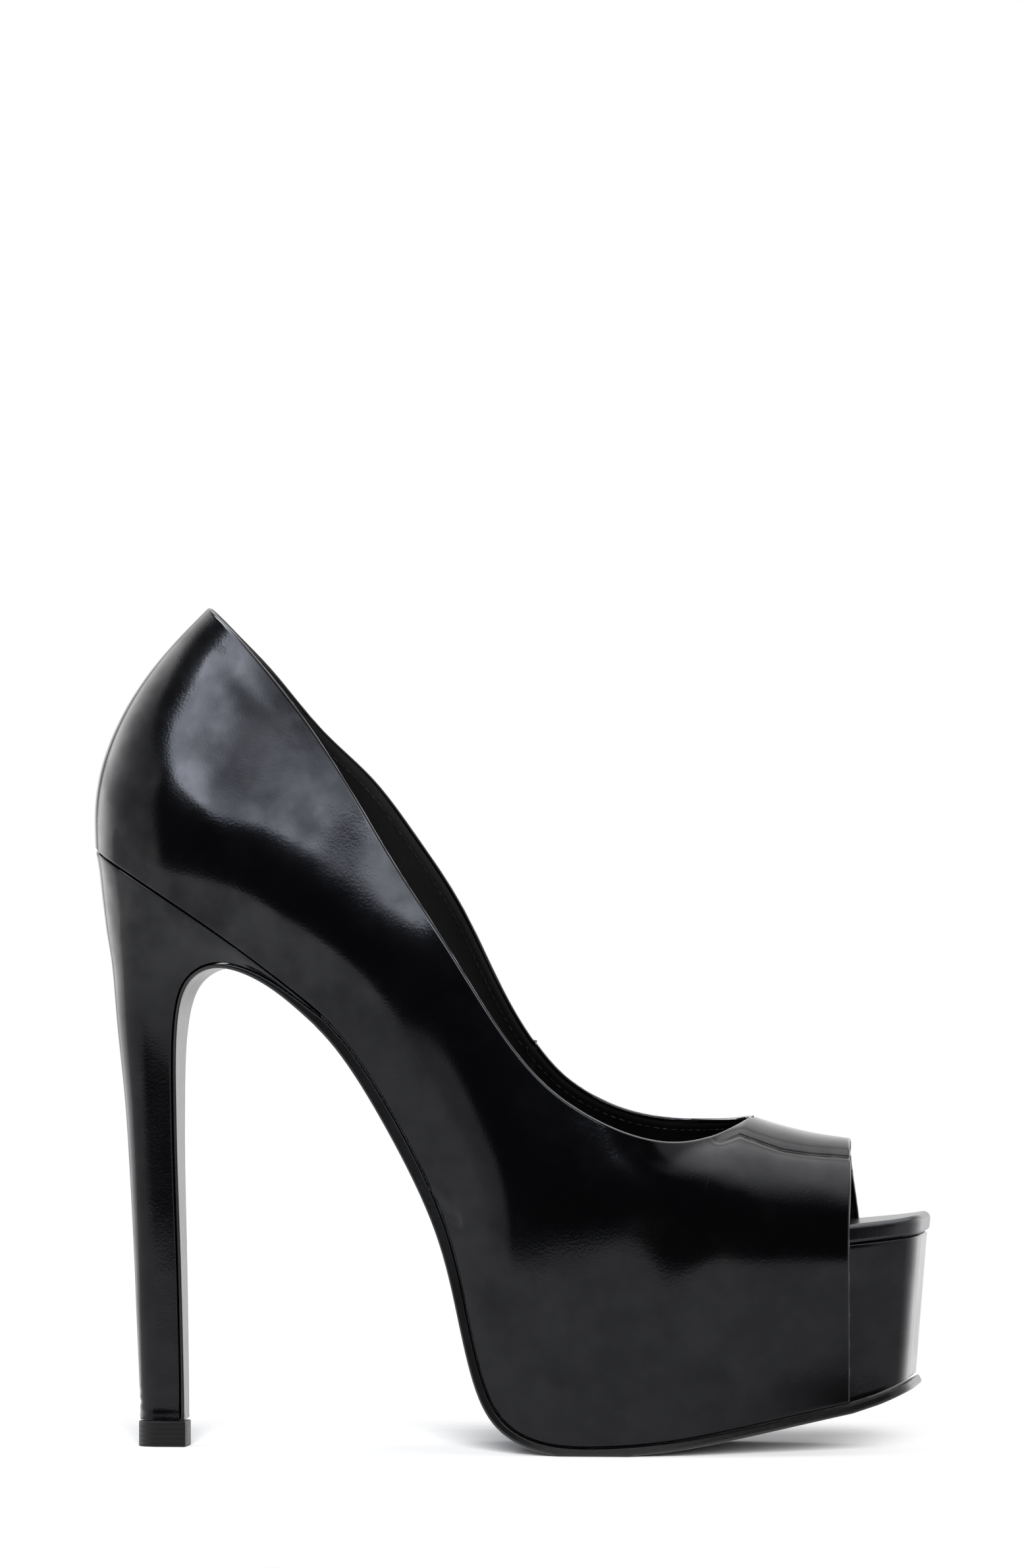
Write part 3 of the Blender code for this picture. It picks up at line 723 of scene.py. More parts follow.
def make_outsole(material):
    """The thin sole under the platform, along the shank, round the arch and down the heel's front."""
    path = sole_path()
    along = unit(np.gradient(path[:, :2], axis=0))
    low, high = [], []
    for (x, z, thick, outer, inner), (dx, dz) in zip(path, along):
        down_x, down_z = dz, -dx
        near = (x + GAP * down_x, z + GAP * down_z)
        far = (x + (GAP + thick) * down_x, z + (GAP + thick) * down_z)
        far = (far[0], 0.0 if far[1] < FLAT_SNAP else far[1])
        high.append([(near[0], -outer, near[1]), (near[0], inner, near[1])])
        low.append([(far[0], -outer, far[1]), (far[0], inner, far[1])])
    return slab("outsole_layer", low, high, *SOLE_RADII, material)


# Heel: points round half a slice, share of it that is the round back, and points of the loops that the heel
# and the top piece are made of
HEEL_POINTS = 60
HEEL_BACK_SHARE = 8 / 17
HEEL_LOOP = 2 * HEEL_POINTS + 20
TOP_PIECE_LOOP = 2 * HEEL_POINTS
# Front corners: their radius, points round one, and the point that shows the way of the side
HEEL_CORNER = 0.4
CORNER_ROWS = 5
CORNER_SIDE = 5
# Rows that tuck under the upper, and the way off the seat
HEEL_TOP_ROWS = (
    # level, inset, lift
    (0.0, 1.9, 0.2),
    (0.0, 0.8, -0.3),
    (0.04, 0.45, 0.0),
    (0.1, 0.2, 0.0),
    (0.2, 0.05, 0.0),
)
HEEL_DROP = (-0.56, 0.0, -0.83)

# Faint wrinkles of the heel's cover above the top piece, and how they climb across it
HEEL_WRINKLES = (
    # height, depth, width
    (9.6, 0.20, 0.5),
    (11.6, 0.26, 0.7),
    (14.2, 0.12, 0.9),
)
WRINKLE_CLIMB = 0.25


def heel_slice(level):
    """A slanted slice of the heel, open at the front: round at the back, straight along the sides."""
    front_x, front_z, _, front_y, back_x, back_z, side_y, rounding = HEEL_ROWS(level)
    turns = np.linspace(-1.0, 1.0, 2 * HEEL_POINTS + 1)
    bend = np.clip(turns / HEEL_BACK_SHARE, -1.0, 1.0) * math.pi / 2
    run = np.clip((np.abs(turns) - HEEL_BACK_SHARE) / (1 - HEEL_BACK_SHARE), 0.0, 1.0)
    share = np.where(run > 0, rounding + (1 - rounding) * run, rounding * (1 - np.cos(bend)))
    side = np.where(run > 0, np.sign(turns) * (side_y + (front_y - side_y) * run), side_y * np.sin(bend))
    along, down = back_x + (front_x - back_x) * share, back_z + (front_z - back_z) * share
    return np.stack([along, side, down], axis=1)


def eased(loop, radius):
    """The loop with its two front corners rounded."""
    turns = np.linspace(0.0, math.pi / 2, CORNER_ROWS)[:, None]
    across = unit(loop[0] - loop[-1])
    arcs = []
    for line, way in ((loop, -across), (loop[::-1], across)):
        side = unit(line[CORNER_SIDE] - line[0])
        arcs.append(line[0] + radius * ((1 - np.sin(turns)) * side + (1 - np.cos(turns)) * way))
    body = loop[1:-1]
    away = [np.linalg.norm(body - corner, axis=1) for corner in (loop[0], loop[-1])]
    return np.concatenate([arcs[0][::-1], body[np.minimum(*away) > radius], arcs[1]])


def even(loop, count):
    """The loop at a fixed number of even steps."""
    run = run_of(loop)
    return spots_along(loop, run, np.linspace(0.0, run[-1], count))


def loft(name, loops, material):
    """A closed body through loops of equal length, with both ends filled across."""
    points = np.concatenate(loops)
    index = np.arange(len(points)).reshape(len(loops), -1)
    faces = [grid_faces(np.concatenate([index, index[:, :1]], axis=1))]
    half = index.shape[1] // 2
    for row in (index[0], index[-1]):
        faces.append(grid_faces(np.stack([row[:half], row[::-1][:half]])))
    return piece(name, points, np.concatenate(faces).tolist(), material)


def make_heel(material):
    """The covered stiletto heel; its top follows the foot line of the upper."""
    turns = np.linspace(-SEAT_END, SEAT_END, 2 * HEEL_POINTS + 1)
    seam = BODY_LINES[0](turns)
    plain = heel_slice(0)
    middle = seam.mean(0)
    rest = np.linspace(0, len(HEEL) - 1, (len(HEEL) - 1) * HEEL_STEPS + 1)
    rows = list(HEEL_TOP_ROWS) + [(level, 0.0, 0.0) for level in rest if level > HEEL_TOP_ROWS[-1][0]]
    loops = []
    for level, inset, lift in rows:
        loop = heel_slice(level) + (seam - plain) * seat_share(level) - np.array(HEEL_DROP) * lift
        loop = loop + inset * unit(middle - loop)
        loop = even(eased(loop, HEEL_CORNER), HEEL_LOOP)
        centre = loop.mean(0)
        for height, depth, width in HEEL_WRINKLES:
            wave = np.exp(-((loop[:, 2] - height - WRINKLE_CLIMB * loop[:, 1]) / width) ** 2)
            loop = loop + depth * wave[:, None] * unit(centre - loop)
        loops.append(loop)
    return loft("heel_cover", loops, material)


# Rows of the top piece, from the floor up
TOP_PIECE_ROWS = (
    # height, inset
    (0.0, 0.35),
    (0.1, 0.1),
    (0.35, 0.0),
    (0.7, 0.0),
    (5.8, 0.0),
    (6.15, 0.0),
    (6.4, 0.1),
    (TOP_PIECE_HEIGHT, 0.35),
)


def make_top_piece(material):
    """The lift under the heel and the end of the sole, on the floor."""
    bottom = heel_slice(len(HEEL) - 1)
    sole = HEEL[-1][2] + GAP
    middle_x = bottom[:, 0].mean()
    grown = bottom.copy()
    grown[:, 0] = np.where(bottom[:, 0] > middle_x + sole, bottom[:, 0] + sole + TOP_PIECE_RIM,
                           bottom[:, 0] - TOP_PIECE_RIM * (bottom[:, 0] < middle_x))
    grown[:, 1] += np.sign(bottom[:, 1]) * TOP_PIECE_RIM * (np.abs(bottom[:, 1]) > GAP)
    grown = even(eased(grown, HEEL_CORNER), TOP_PIECE_LOOP)
    centre = np.array([grown[:, 0].mean(), 0.0, 0.0])
    loops = []
    for height, inset in TOP_PIECE_ROWS:
        flat = grown * (1, 1, 0)
        loops.append(flat + inset * unit(centre - flat) + (0, 0, height))
    return loft("heel_tip", loops, material)


class Value:
    """A socket that takes part in plain expressions; each operation adds a Math node."""

    def __init__(self, tree, socket):
        self.tree, self.socket = tree, socket

    def _math(self, operation, *terms):
        return node(self.tree, "ShaderNodeMath", {"operation": operation}, dict(enumerate(terms)))["Value"]

    def __add__(self, other):
        return self._math("ADD", self, other)

    def __radd__(self, other):
        return self._math("ADD", other, self)

    def __sub__(self, other):
        return self._math("SUBTRACT", self, other)

    def __rsub__(self, other):
        return self._math("SUBTRACT", other, self)

    def __mul__(self, other):
        return self._math("MULTIPLY", self, other)

    def __rmul__(self, other):
        return self._math("MULTIPLY", other, self)

    def __truediv__(self, other):
        return self._math("DIVIDE", self, other)

    def __rtruediv__(self, other):
        return self._math("DIVIDE", other, self)

    def at_least(self, other):
        """The larger of the two."""
        return self._math("MAXIMUM", self, other)

    def power(self, other):
        return self._math("POWER", self, other)

    def between(self, low, high):
        """0 below low, 1 above high and a smooth way between."""
        return node(self.tree, "ShaderNodeMapRange", {"interpolation_type": "SMOOTHSTEP"},
                    {"Value": self, "From Min": low, "From Max": high})["Result"]


def feed(tree, socket, value):
    """Link a value to a socket, or set the socket to it."""
    if isinstance(value, Value):
        tree.links.new(value.socket, socket)
    else:
        socket.default_value = (*value, 1.0) if socket.type == "RGBA" else value


def node(tree, kind, settings=None, inputs=None):
    """A node with its settings and the values or links of its sockets; gives its outputs by name."""
    made = tree.nodes.new(kind)
    for label, value in (settings or {}).items():
        setattr(made, label, value)
    for label, value in (inputs or {}).items():
        feed(tree, made.inputs[label], value)
    return {out.name: Value(tree, out) for out in made.outputs if out.enabled}


def mixed(tree, factor, low, high):
    """A colour between two colours."""
    made = tree.nodes.new("ShaderNodeMix")
    made.data_type = "RGBA"
    for label, value in (("Factor", factor), ("A", low), ("B", high)):
        feed(tree, [socket for socket in made.inputs if socket.name == label and socket.enabled][0], value)
    return Value(tree, [socket for socket in made.outputs if socket.enabled][0])


def part_of(tree, vector, axis):
    """One part of a vector."""
    return node(tree, "ShaderNodeSeparateXYZ", {}, {"Vector": vector})[axis]


def mark_of(tree, name):
    """A measure that is kept at the points of a mesh."""
    return node(tree, "ShaderNodeAttribute", {"attribute_name": name})["Fac"]


# Stitches of the lining: distance from the topline, pitch, length and thickness
STITCH_BELOW = 3.0
STITCH_PITCH = 2.3
STITCH_LENGTH = 1.7
STITCH_THICK = 0.36
# Row of the leather, from the topline down, that gives the lining's lean there
STITCH_LEAN_ROW = 4
# How far before and behind its guessed place the lining is looked for, the step below which a point of the
# path is left out, and the gap at which the path breaks, in metres
STITCH_REACH = 0.004
STITCH_STEP = 0.0004
STITCH_BREAK = 0.005
# A stitch before it is stretched
STITCH_BEAD = {"Segments": 8, "Rings": 6, "Radius": 0.5}


def stitch_line(skin, lining):
    """The path of the stitches on the lining, a set distance inside the topline."""
    shaped = skin.points.reshape(skin.columns, skin.rows, 3)
    normals = skin.normals.reshape(skin.columns, skin.rows, 3)
    keep = ~skin.crown
    top, lean = shaped[keep, -1], normals[keep, -STITCH_LEAN_ROW]
    along = unit(np.gradient(top, axis=0))
    inward = np.cross(along, lean)
    if np.mean(inward[:, 2]) > 0:
        inward = -inward
    guess = to_frame(top + STITCH_BELOW * unit(inward) - UPPER_WALL * lean)
    tree = bvhtree.BVHTree.FromObject(lining, bpy.context.evaluated_depsgraph_get())
    line = []
    for spot, away in zip(guess, lean):
        outward = Vector(away)
        hit = tree.ray_cast(Vector(spot) - outward * STITCH_REACH, outward, 2 * STITCH_REACH)[0]
        if hit is not None and (not line or (hit - line[-1]).length > STITCH_STEP):
            line.append(hit)
    return line


def row_tree(name, thread):
    """A node tree that sets small rounded stitches along a line."""
    tree = bpy.data.node_groups.new(name, "GeometryNodeTree")
    sockets = (("Line", "INPUT", "Geometry"), ("Pitch", "INPUT", "Float"), ("Length", "INPUT", "Float"),
               ("Thickness", "INPUT", "Float"), ("Stitches", "OUTPUT", "Geometry"))
    for label, way, kind in sockets:
        tree.interface.new_socket(label, in_out=way, socket_type="NodeSocket" + kind)
    given = node(tree, "NodeGroupInput")
    path = node(tree, "GeometryNodeMeshToCurve", {}, {"Mesh": given["Line"]})["Curve"]
    spots = node(tree, "GeometryNodeCurveToPoints", {"mode": "LENGTH"},
                 {"Curve": path, "Length": given["Pitch"]})
    bead = node(tree, "GeometryNodeMeshUVSphere", {}, STITCH_BEAD)["Mesh"]
    size = node(tree, "ShaderNodeCombineXYZ", {},
                {"X": given["Thickness"], "Y": given["Thickness"], "Z": given["Length"]})["Vector"]
    stitch = node(tree, "GeometryNodeTransform", {}, {"Geometry": bead, "Scale": size})["Geometry"]
    row = node(tree, "GeometryNodeInstanceOnPoints", {},
               {"Points": spots["Points"], "Instance": stitch, "Rotation": spots["Rotation"]})["Instances"]
    real = node(tree, "GeometryNodeRealizeInstances", {}, {"Geometry": row})["Geometry"]
    sewn = node(tree, "GeometryNodeSetMaterial", {}, {"Geometry": real, "Material": thread})["Geometry"]
    node(tree, "NodeGroupOutput", {}, {"Stitches": sewn})
    return tree


def make_stitches(name, line, tree, sizes):
    """A row of stitches along a line of points in metres, as one plain mesh."""
    path = bpy.data.meshes.new(name + "_line")
    whole = [i for i in range(len(line) - 1) if (line[i + 1] - line[i]).length < STITCH_BREAK]
    path.from_pydata(line, [(i, i + 1) for i in whole], [])
    carrier = bpy.data.objects.new(name + "_line", path)
    bpy.context.scene.collection.objects.link(carrier)
    row = carrier.modifiers.new("row", "NODES")
    row.node_group = tree
    for item in tree.interface.items_tree:
        if item.in_out == "INPUT" and item.name in sizes:
            row[item.identifier] = sizes[item.name] / 1000
    bpy.context.view_layer.update()
    shape = bpy.data.meshes.new_from_object(carrier.evaluated_get(bpy.context.evaluated_depsgraph_get()))
    bpy.data.objects.remove(carrier)
    bpy.data.meshes.remove(path)
    shape.name = name
    shape.shade_smooth()
    thing = bpy.data.objects.new(name, shape)
    bpy.context.scene.collection.objects.link(thing)
    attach(thing, "root")
    return thing


def finish_of(name, colour, roughness, bumps=(), constants=None, polish=0.0):
    """A Principled material; colour, roughness and polish are values or functions that make them."""
    material = bpy.data.materials.new(name)
    material.use_nodes = True
    tree = material.node_tree
    coords = node(tree, "ShaderNodeTexCoord")["Object"]
    shader = tree.nodes["Principled BSDF"]
    for label, made in (("Base Color", colour), ("Roughness", roughness), ("Coat Weight", polish)):
        feed(tree, shader.inputs[label], made(tree, coords) if callable(made) else made)
    for label, value in (constants or {}).items():
        feed(tree, shader.inputs[label], value)
    normal = None
    for field, distance in bumps:
        inputs = {"Height": field(tree, coords), "Distance": distance, "Strength": 1.0}
        if normal is not None:
            inputs["Normal"] = normal
        normal = node(tree, "ShaderNodeBump", {}, inputs)["Normal"]
    if normal is not None:
        feed(tree, shader.inputs["Normal"], normal)
    return material


# Finishes: colours as linear light
BLACK_LEATHER = (0.0012, 0.0012, 0.0015)
WORN_LEATHER = (0.0026, 0.0026, 0.0028)
LINING_TONES = ((0.0022, 0.002, 0.002), (0.005, 0.0045, 0.0043))
SOLE_TONE = (0.005, 0.005, 0.005)
RUBBER_TONE = (0.004, 0.004, 0.004)
# The thread's dark tone, and the pale tone of the highlights painted on it
THREAD_AND_GLINT_TONES = ((0.004, 0.0038, 0.0036), (0.07, 0.068, 0.066))
COOL_TINT = (0.92, 0.93, 1.0)
LEATHER_SHINE = {"Specular IOR Level": 0.19, "Specular Tint": COOL_TINT, "Coat Roughness": 0.1}
FOOTBED_SHINE = {"Specular IOR Level": 0.5, "Specular Tint": COOL_TINT}
DULL_SHINE = {"Specular IOR Level": 0.3}
NO_SHINE = {"Specular IOR Level": 0.0}

# Noise of the finishes; one with a spread runs from 0 at its low end to 1 at its high end
PATTERNS = {
    # name: cycles a metre, detail, roughness, spread
    "wear": (55.0, 4.0, 0.6, (0.52, 0.75)),
    "clouds": (70.0, 3.0, 0.6, (0.35, 0.7)),
    "fine": (1600.0, 2.0, 0.6, None),
    "polish_wide": (62.0, 3.0, 0.55, (0.34, 0.66)),
    "polish_streaks": (150.0, 3.0, 0.6, (0.3, 0.7)),
    "waves": (42.0, 1.0, 0.4, None),
    "grain_depth": (300.0, 2.0, 0.6, None),
    "lining_clouds": (240.0, 4.0, 0.6, None),
    "nap": (2600.0, 3.0, 0.7, None),
    "footbed_clouds": (120.0, 3.0, 0.6, None),
    "sole_clouds": (200.0, 3.0, 0.6, None),
    "pebble": (900.0, 3.0, 0.6, None),
    "rubber_clouds": (400.0, 3.0, 0.6, None),
    # Patches of painted highlight on the thread
    "thread_glints": (160.0, 2.0, 0.5, (0.4, 0.65)),
}
GRAIN_CELLS = {"Scale": 1500.0, "Smoothness": 0.6}
# Bands: their direction, cycles a metre and distortion
RUBBER_RIBS = ("Z", 260.0, 0.4)
THREAD_TWIST = ("DIAGONAL", 900.0, 0.5)

# Roughness, as the least and what each pattern adds
LEATHER_ROUGHNESS = (0.10, 0.05, 0.03)
FOOTBED_ROUGHNESS = (0.19, 0.06)
SOLE_ROUGHNESS = (0.17, 0.10)
RUBBER_ROUGHNESS = (0.4, 0.15)
LINING_ROUGHNESS = 0.62
THREAD_ROUGHNESS = 0.5

# Heights of the bumps, metres
UPPER_WAVES = 0.00035
COVER_WAVES = 0.00018
GRAIN_HEIGHT = 0.00002
FOLD_HEIGHT = 0.0005
NAP_HEIGHT = 0.00005
PEBBLE_HEIGHT = 0.00003
RIB_HEIGHT = 0.00004
TWIST_HEIGHT = 0.00005

# Coat of polish: its least weight, what the wide and the streaky pattern add, and what the wide one adds
# besides on the quarter, above these heights in metres
POLISH_LEAST = 0.06
POLISH_WIDE = 0.10
POLISH_STREAKS = 0.08
POLISH_HANDLED = 0.30
HANDLED = (0.10, 0.14)
# Distance from the turned edges within which they are rubbed bright, millimetres, the share of it that is
# missing at the peep toe, and from where on, metres
RUBBED_EDGE = (0.35, 0.8)
RUBBED_LOSS = 0.85
RUBBED_FRONT = (0.06, 0.08)
# Half the width of the sharp fold, millimetres, and where it starts, metres
FOLD_HALF = 1.1
FOLD_START = (0.052, 0.062)
# Where pale patches are painted on the thread as painted highlights of caught light, towards the throat,
# metres
THREAD_GLINT_REACH = (-0.01, 0.03)


def pattern(name):
    """A function that makes one of the noise patterns."""
    scale, detail, roughness, spread = PATTERNS[name]

    def field(tree, coords):
        sizes = {"Vector": coords, "Scale": scale, "Detail": detail, "Roughness": roughness}
        noise = node(tree, "ShaderNodeTexNoise", {"noise_dimensions": "3D"}, sizes)["Fac"]
        return noise.between(*spread) if spread else noise

    return field


def bands(way, scale, distortion):
    """A function that makes even bands."""
    settings = {"wave_type": "BANDS", "bands_direction": way}
    return lambda tree, coords: node(tree, "ShaderNodeTexWave", settings, {
        "Vector": coords, "Scale": scale, "Distortion": distortion})["Fac"]


def uneven(amounts, *names):
    """A function that makes a least value and what each named pattern adds to it."""
    def field(tree, coords):
        value = amounts[0]
        for amount, name in zip(amounts[1:], names):
            value = value + amount * pattern(name)(tree, coords)
        return value

    return field


def two_tones(name, low, high):
    """A function that makes a colour between two by a named pattern."""
    return lambda tree, coords: mixed(tree, pattern(name)(tree, coords), low, high)


def leather_polish(tree, coords):
    """The uneven coat of polish."""
    handled = part_of(tree, coords, "Z").between(*HANDLED)
    wide = (POLISH_WIDE + POLISH_HANDLED * handled) * pattern("polish_wide")(tree, coords)
    return POLISH_LEAST + wide + POLISH_STREAKS * pattern("polish_streaks")(tree, coords)


def edge_polish(tree, coords):
    """The polish with the turned edges rubbed bright."""
    ahead = part_of(tree, coords, "X").between(*RUBBED_FRONT)
    rubbed = (1 - mark_of(tree, "edge").between(*RUBBED_EDGE)) * (1 - RUBBED_LOSS * ahead)
    return leather_polish(tree, coords) * (1 - rubbed) + rubbed


def leather_grain(tree, coords):
    """Fine cells, deeper in some places."""
    cells = node(tree, "ShaderNodeTexVoronoi", {"feature": "SMOOTH_F1"}, {"Vector": coords, **GRAIN_CELLS})
    return cells["Distance"] * pattern("grain_depth")(tree, coords)


def fold_groove(tree, coords):
    """A narrow groove along the sharp fold, soft towards its back end."""
    above = mark_of(tree, "fold")
    start = part_of(tree, coords, "X").between(*FOLD_START)
    return 1 - above.between(-FOLD_HALF, 0.0) * (1 - above.between(0.0, FOLD_HALF)) * start


def thread_colour_and_glints(tree, coords):
    """Dark thread, with pale patches painted on as highlights in places towards the throat."""
    # Pale paint stands for light caught on the stitches: a painted highlight
    pale = pattern("thread_glints")(tree, coords) * part_of(tree, coords, "X").between(*THREAD_GLINT_REACH)
    return mixed(tree, pale, *THREAD_AND_GLINT_TONES)


LEATHER_COLOUR = two_tones("wear", BLACK_LEATHER, WORN_LEATHER)
LEATHER_SURFACE = uneven(LEATHER_ROUGHNESS, "clouds", "fine")


def upper_finish():
    bumps = ((pattern("waves"), UPPER_WAVES), (leather_grain, GRAIN_HEIGHT), (fold_groove, FOLD_HEIGHT))
    return finish_of("polished_leather", LEATHER_COLOUR, LEATHER_SURFACE, bumps, LEATHER_SHINE,
                     edge_polish)


def cover_finish():
    bumps = ((pattern("waves"), COVER_WAVES), (leather_grain, GRAIN_HEIGHT))
    return finish_of("wrapped_leather", LEATHER_COLOUR, LEATHER_SURFACE, bumps, LEATHER_SHINE,
                     leather_polish)


def lining_finish():
    return finish_of("soft_lining", two_tones("lining_clouds", *LINING_TONES), LINING_ROUGHNESS,
                     ((pattern("nap"), NAP_HEIGHT),), DULL_SHINE)


def footbed_finish():
    return finish_of("footbed_leather", LEATHER_COLOUR, uneven(FOOTBED_ROUGHNESS, "footbed_clouds"),
                     ((leather_grain, GRAIN_HEIGHT),), FOOTBED_SHINE)


def sole_finish():
    return finish_of("satin_sole", SOLE_TONE, uneven(SOLE_ROUGHNESS, "sole_clouds"),
                     ((pattern("pebble"), PEBBLE_HEIGHT),))


def tip_finish():
    return finish_of("tip_rubber", RUBBER_TONE, uneven(RUBBER_ROUGHNESS, "rubber_clouds"),
                     ((bands(*RUBBER_RIBS), RIB_HEIGHT),), DULL_SHINE)


def thread_finish():
    return finish_of("lining_thread", thread_colour_and_glints, THREAD_ROUGHNESS,
                     ((bands(*THREAD_TWIST), TWIST_HEIGHT),))


# Camera of the photograph: metres and degrees, its lens and the long side of its film in millimetres
VIEW_TURN = 6.0
VIEW_DISTANCE = 2.4
VIEW_HEIGHT = 0.135
VIEW_PITCH = 0.784
VIEW_LENS = 217.8
VIEW_FILM = 36.0
VIEW_FAR = 50.0

# Studio, metres: outline of the floor, nearer to the shoe at the camera's left, its tone and roughness,
# and where it fades into the white behind the shoe and to its right, from the front on
FLOOR = ((-3.0, -0.34), (-0.05, -0.40), (0.35, -0.75), (3.0, -0.75), (3.0, 3.0), (-3.0, 3.0))
FLOOR_TONE = (0.26, 0.26, 0.26)
FLOOR_ROUGHNESS = 0.9
BACK_FADE = (0.06, 0.14)
RIGHT_FADE = (0.07, 0.115)
FRONT_FADE = (-0.12, -0.06)

# Key panel: its lower and upper corners from right to left, seen from the quarter of the shoe, where
# azimuth 0 is the camera's side and runs towards the toe, in degrees and metres, and its strength there
KEY_CENTRE = (-0.045, -0.028, 0.16)
KEY_COLUMNS = (
    # lower (azimuth, elevation, distance), upper (azimuth, elevation, distance), strength
    ((16.0, 11.0, 0.41), (16.0, 25.0, 0.43), 1.20),
    ((-2.0, 14.0, 0.41), (0.0, 32.0, 0.45), 0.60),
    ((-16.0, 12.5, 0.42), (-12.0, 39.0, 0.48), 0.75),
    ((-36.0, 24.0, 0.46), (-28.0, 54.0, 0.54), 1.25),
    ((-53.0, 40.0, 0.50), (-45.0, 68.0, 0.60), 1.1),
    ((-125.0, 49.0, 0.60), (-125.0, 80.0, 0.60), 1.25),
)
KEY_ROWS = (
    # share of the way up, strength
    (0.0, 2.4),
    (0.3, 1.7),
    (0.65, 0.65),
    (1.0, 0.45),
)
# Its light, the strength that counts as full, its tint, and the tone of the unlit panel
KEY_LIGHT = 4.2
KEY_RANGE = 3.2
KEY_TINT = (0.85, 0.89, 1.0)
PANEL_BLACK = (0.0, 0.0, 0.0)
PANEL_ROUGHNESS = 1.0

# Front fill: where it comes from and how wide it is, in degrees, and its strength; it lights the floor
FILL_WAY = (7.0, 12.0)
FILL_WIDTH = 18.0
FILL_LIGHT = 43.0

# Room: its colour, light of the dark side behind the camera, of the walls, as the least and what their
# brightest place adds, and of the soft panel overhead, faint to strong
ROOM_WHITE = (1.0, 1.0, 1.0)
DARK_LIGHT = 0.03
LEFT_LIGHT = (0.75, 1.9)
RIGHT_LIGHT = (0.9, 1.9)
TOP_LIGHT = (1.0, 2.8)
# Sines of the elevations over which the panel overhead grows strong
TOP_RISE = (0.72, 0.93)
# Where the walls are brightest, and how fast they fall off
LEFT_GLOW = (-120, 12)
RIGHT_GLOW = (125, 12)
GLOW_POWER = 4.0
# A dark flag behind the heel: where it stands, the cosines at its rim and its core, and how much it takes
FLAG_WAY = (-157, 8)
FLAG_EDGE = (0.95, 0.985)
FLAG_SHADE = 0.85

# Edges of the bright areas in the room, each through two directions and keeping the side of a third,
# then how soft it is
LIGHT_EDGES = {
    # name: (azimuth, elevation), (azimuth, elevation), inside (azimuth, elevation), softness
    "left_wall": ((-44, 0), (-40, 40), (-90, 10), 0.10),
    "left_top": ((-36, 25), (-60, 37), (-90, 10), 0.05),
    "right_wall": ((44, 0), (44, 80), (90, 10), 0.14),
    "top_left": ((22, 46), (13, 70), (80, 60), 0.12),
    "top_low": ((30, 42), (100, 52), (60, 75), 0.16),
}


def direction(azimuth, elevation):
    """Unit vector from the shoe; azimuth 0 is the camera's side and runs towards the toe."""
    turn, rise = math.radians(azimuth), math.radians(elevation)
    return Vector((math.cos(rise) * math.sin(turn), -math.cos(rise) * math.cos(turn), math.sin(rise)))


def make_camera():
    """The view of the photograph, level with the shoe and a little from its front."""
    lens = bpy.data.cameras.new("photo_view")
    lens.lens = VIEW_LENS
    lens.sensor_width = VIEW_FILM
    lens.clip_end = VIEW_FAR
    view = bpy.data.objects.new("photo_view", lens)
    view.location = VIEW_DISTANCE * direction(VIEW_TURN, 0) + Vector((0, -SIDE_SHIFT / 1000, VIEW_HEIGHT))
    forward = -direction(VIEW_TURN, -VIEW_PITCH)
    view.rotation_euler = forward.to_track_quat("-Z", "Y").to_euler()
    bpy.context.scene.collection.objects.link(view)
    bpy.context.scene.camera = view


def make_floor():
    """The pale floor under the shoe, which fades into the white."""
    shape = bpy.data.meshes.new("floor")
    shape.from_pydata([(x, y, 0.0) for x, y in FLOOR], [], [tuple(range(len(FLOOR)))])
    floor = bpy.data.objects.new("floor", shape)
    bpy.context.scene.collection.objects.link(floor)
    pale = finish_of("pale_floor", FLOOR_TONE, FLOOR_ROUGHNESS, (), NO_SHINE)
    tree = pale.node_tree
    coords = node(tree, "ShaderNodeTexCoord")["Object"]
    back = part_of(tree, coords, "Y")
    right = part_of(tree, coords, "X").between(*RIGHT_FADE) * back.between(*FRONT_FADE)
    whole = (1 - back.between(*BACK_FADE)) * (1 - right)
    feed(tree, tree.nodes["Principled BSDF"].inputs["Alpha"], whole)
    shape.materials.append(pale)
    return floor


def make_key_panel():
    """The soft key light close by on the camera's left."""
    spots, glows = [], []
    for low, high, strength in KEY_COLUMNS:
        ends = [Vector(KEY_CENTRE) + distance * direction(azimuth, elevation)
                for azimuth, elevation, distance in (low, high)]
        spots += [ends[0].lerp(ends[1], share) for share, level in KEY_ROWS]
        glows += [strength * level for share, level in KEY_ROWS]
    shape = bpy.data.meshes.new("key_panel")
    index = np.arange(len(spots)).reshape(len(KEY_COLUMNS), len(KEY_ROWS))
    shape.from_pydata(spots, [], grid_faces(index).tolist())
    shape.attributes.new("strength", "FLOAT", "POINT").data.foreach_set("value", glows)
    panel = bpy.data.objects.new("key_panel", shape)
    bpy.context.scene.collection.objects.link(panel)
    full = {**NO_SHINE, "Emission Strength": KEY_LIGHT * KEY_RANGE}
    glow = finish_of("panel_glow", PANEL_BLACK, PANEL_ROUGHNESS, (), full)
    tree = glow.node_tree
    light = mixed(tree, mark_of(tree, "strength") / KEY_RANGE, PANEL_BLACK, KEY_TINT)
    feed(tree, tree.nodes["Principled BSDF"].inputs["Emission Color"], light)
    shape.materials.append(glow)
    panel.visible_camera = False


def make_fill(floor):
    """Low soft light from the front on the floor alone."""
    lamp = bpy.data.lights.new("front_fill", "SUN")
    lamp.energy = FILL_LIGHT
    lamp.angle = math.radians(FILL_WIDTH)
    fill = bpy.data.objects.new("front_fill", lamp)
    fill.rotation_euler = direction(*FILL_WAY).to_track_quat("Z", "Y").to_euler()
    fill.visible_glossy = False
    bpy.context.scene.collection.objects.link(fill)
    lit = bpy.data.collections.new("lit_by_fill")
    lit.objects.link(floor)
    fill.light_linking.receiver_collection = lit


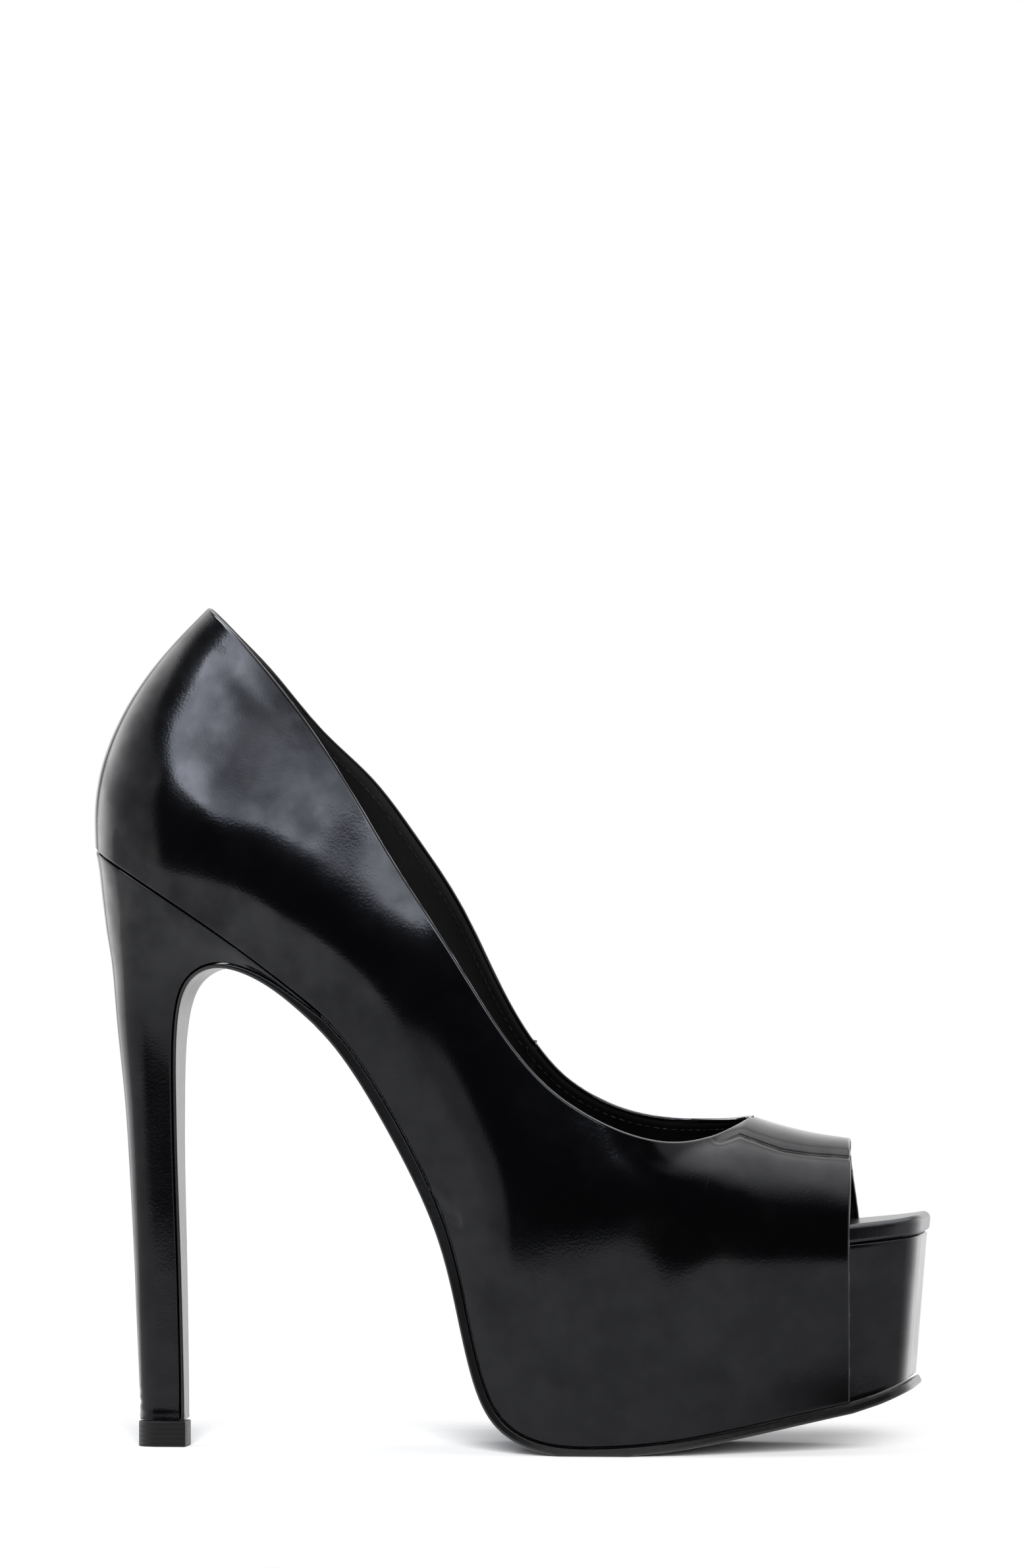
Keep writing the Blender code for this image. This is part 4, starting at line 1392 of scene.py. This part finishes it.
def facing(tree, way, vector):
    """Cosine of the angle between a way and a fixed vector."""
    return node(tree, "ShaderNodeVectorMath", {"operation": "DOT_PRODUCT"},
                {0: way, 1: tuple(vector)})["Value"]


def lit_side(tree, way, name):
    """1 on the bright side of an edge of the light and 0 on the other."""
    first, last, inside, softness = LIGHT_EDGES[name]
    across = direction(*first).cross(direction(*last)).normalized()
    if across.dot(direction(*inside)) < 0:
        across = -across
    return facing(tree, way, across).between(-softness / 2, softness / 2)


def wall_light(tree, way, strength, centre):
    """A wall that is brightest in one direction."""
    towards = facing(tree, way, direction(*centre)).at_least(0.0)
    return strength[0] + strength[1] * towards.power(GLOW_POWER)


def make_light():
    """A white room with a dark side behind the camera and a soft panel overhead."""
    world = bpy.data.worlds.new("studio")
    bpy.context.scene.world = world
    world.use_nodes = True
    tree = world.node_tree
    way = node(tree, "ShaderNodeTexCoord")["Generated"]
    side = {name: lit_side(tree, way, name) for name in LIGHT_EDGES}
    left = side["left_wall"] * side["left_top"]
    right = side["right_wall"] * (1 - left)
    top = side["top_left"] * side["top_low"]
    room = (wall_light(tree, way, LEFT_LIGHT, LEFT_GLOW) * left
            + wall_light(tree, way, RIGHT_LIGHT, RIGHT_GLOW) * right + DARK_LIGHT * (1 - left - right))
    room = room * (1 - FLAG_SHADE * facing(tree, way, direction(*FLAG_WAY)).between(*FLAG_EDGE))
    faint, strong = TOP_LIGHT
    overhead = faint + (strong - faint) * part_of(tree, way, "Z").between(*TOP_RISE)
    level = room * (1 - top) + overhead * top
    seen = node(tree, "ShaderNodeLightPath")["Is Camera Ray"]
    sky = tree.nodes["Background"].inputs
    feed(tree, sky["Strength"], level * (1 - seen) + seen)
    feed(tree, sky["Color"], ROOM_WHITE)


def main():
    """Studio first, then the pieces and the solids that they stand for."""
    bpy.context.scene.view_settings.view_transform = "Standard"
    make_camera()
    make_fill(make_floor())
    make_key_panel()
    make_light()
    leather, cover, fabric = upper_finish(), cover_finish(), lining_finish()
    skin = Skin()
    upper = make_upper(skin, leather)
    lining = make_lining(skin, fabric)
    dressed = (
        (upper, "upper", "upper_leather"),
        (make_platform(cover), "platform", "platform_leather"),
        (make_footbed(footbed_finish()), "insole", "insole_leather"),
        (make_outsole(sole_finish()), "outsole", "sole"),
        (make_heel(cover), "heel", "heel_leather"),
        (make_top_piece(tip_finish()), "top_piece", "top_piece_rubber"),
    )
    for thing, solid, slot in dressed:
        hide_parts(solid)
    tree = row_tree("stitch_row", thread_finish())
    sizes = {"Pitch": STITCH_PITCH, "Length": STITCH_LENGTH, "Thickness": STITCH_THICK}
    stitches = make_stitches("topline_stitches", stitch_line(skin, lining), tree, sizes)


main()
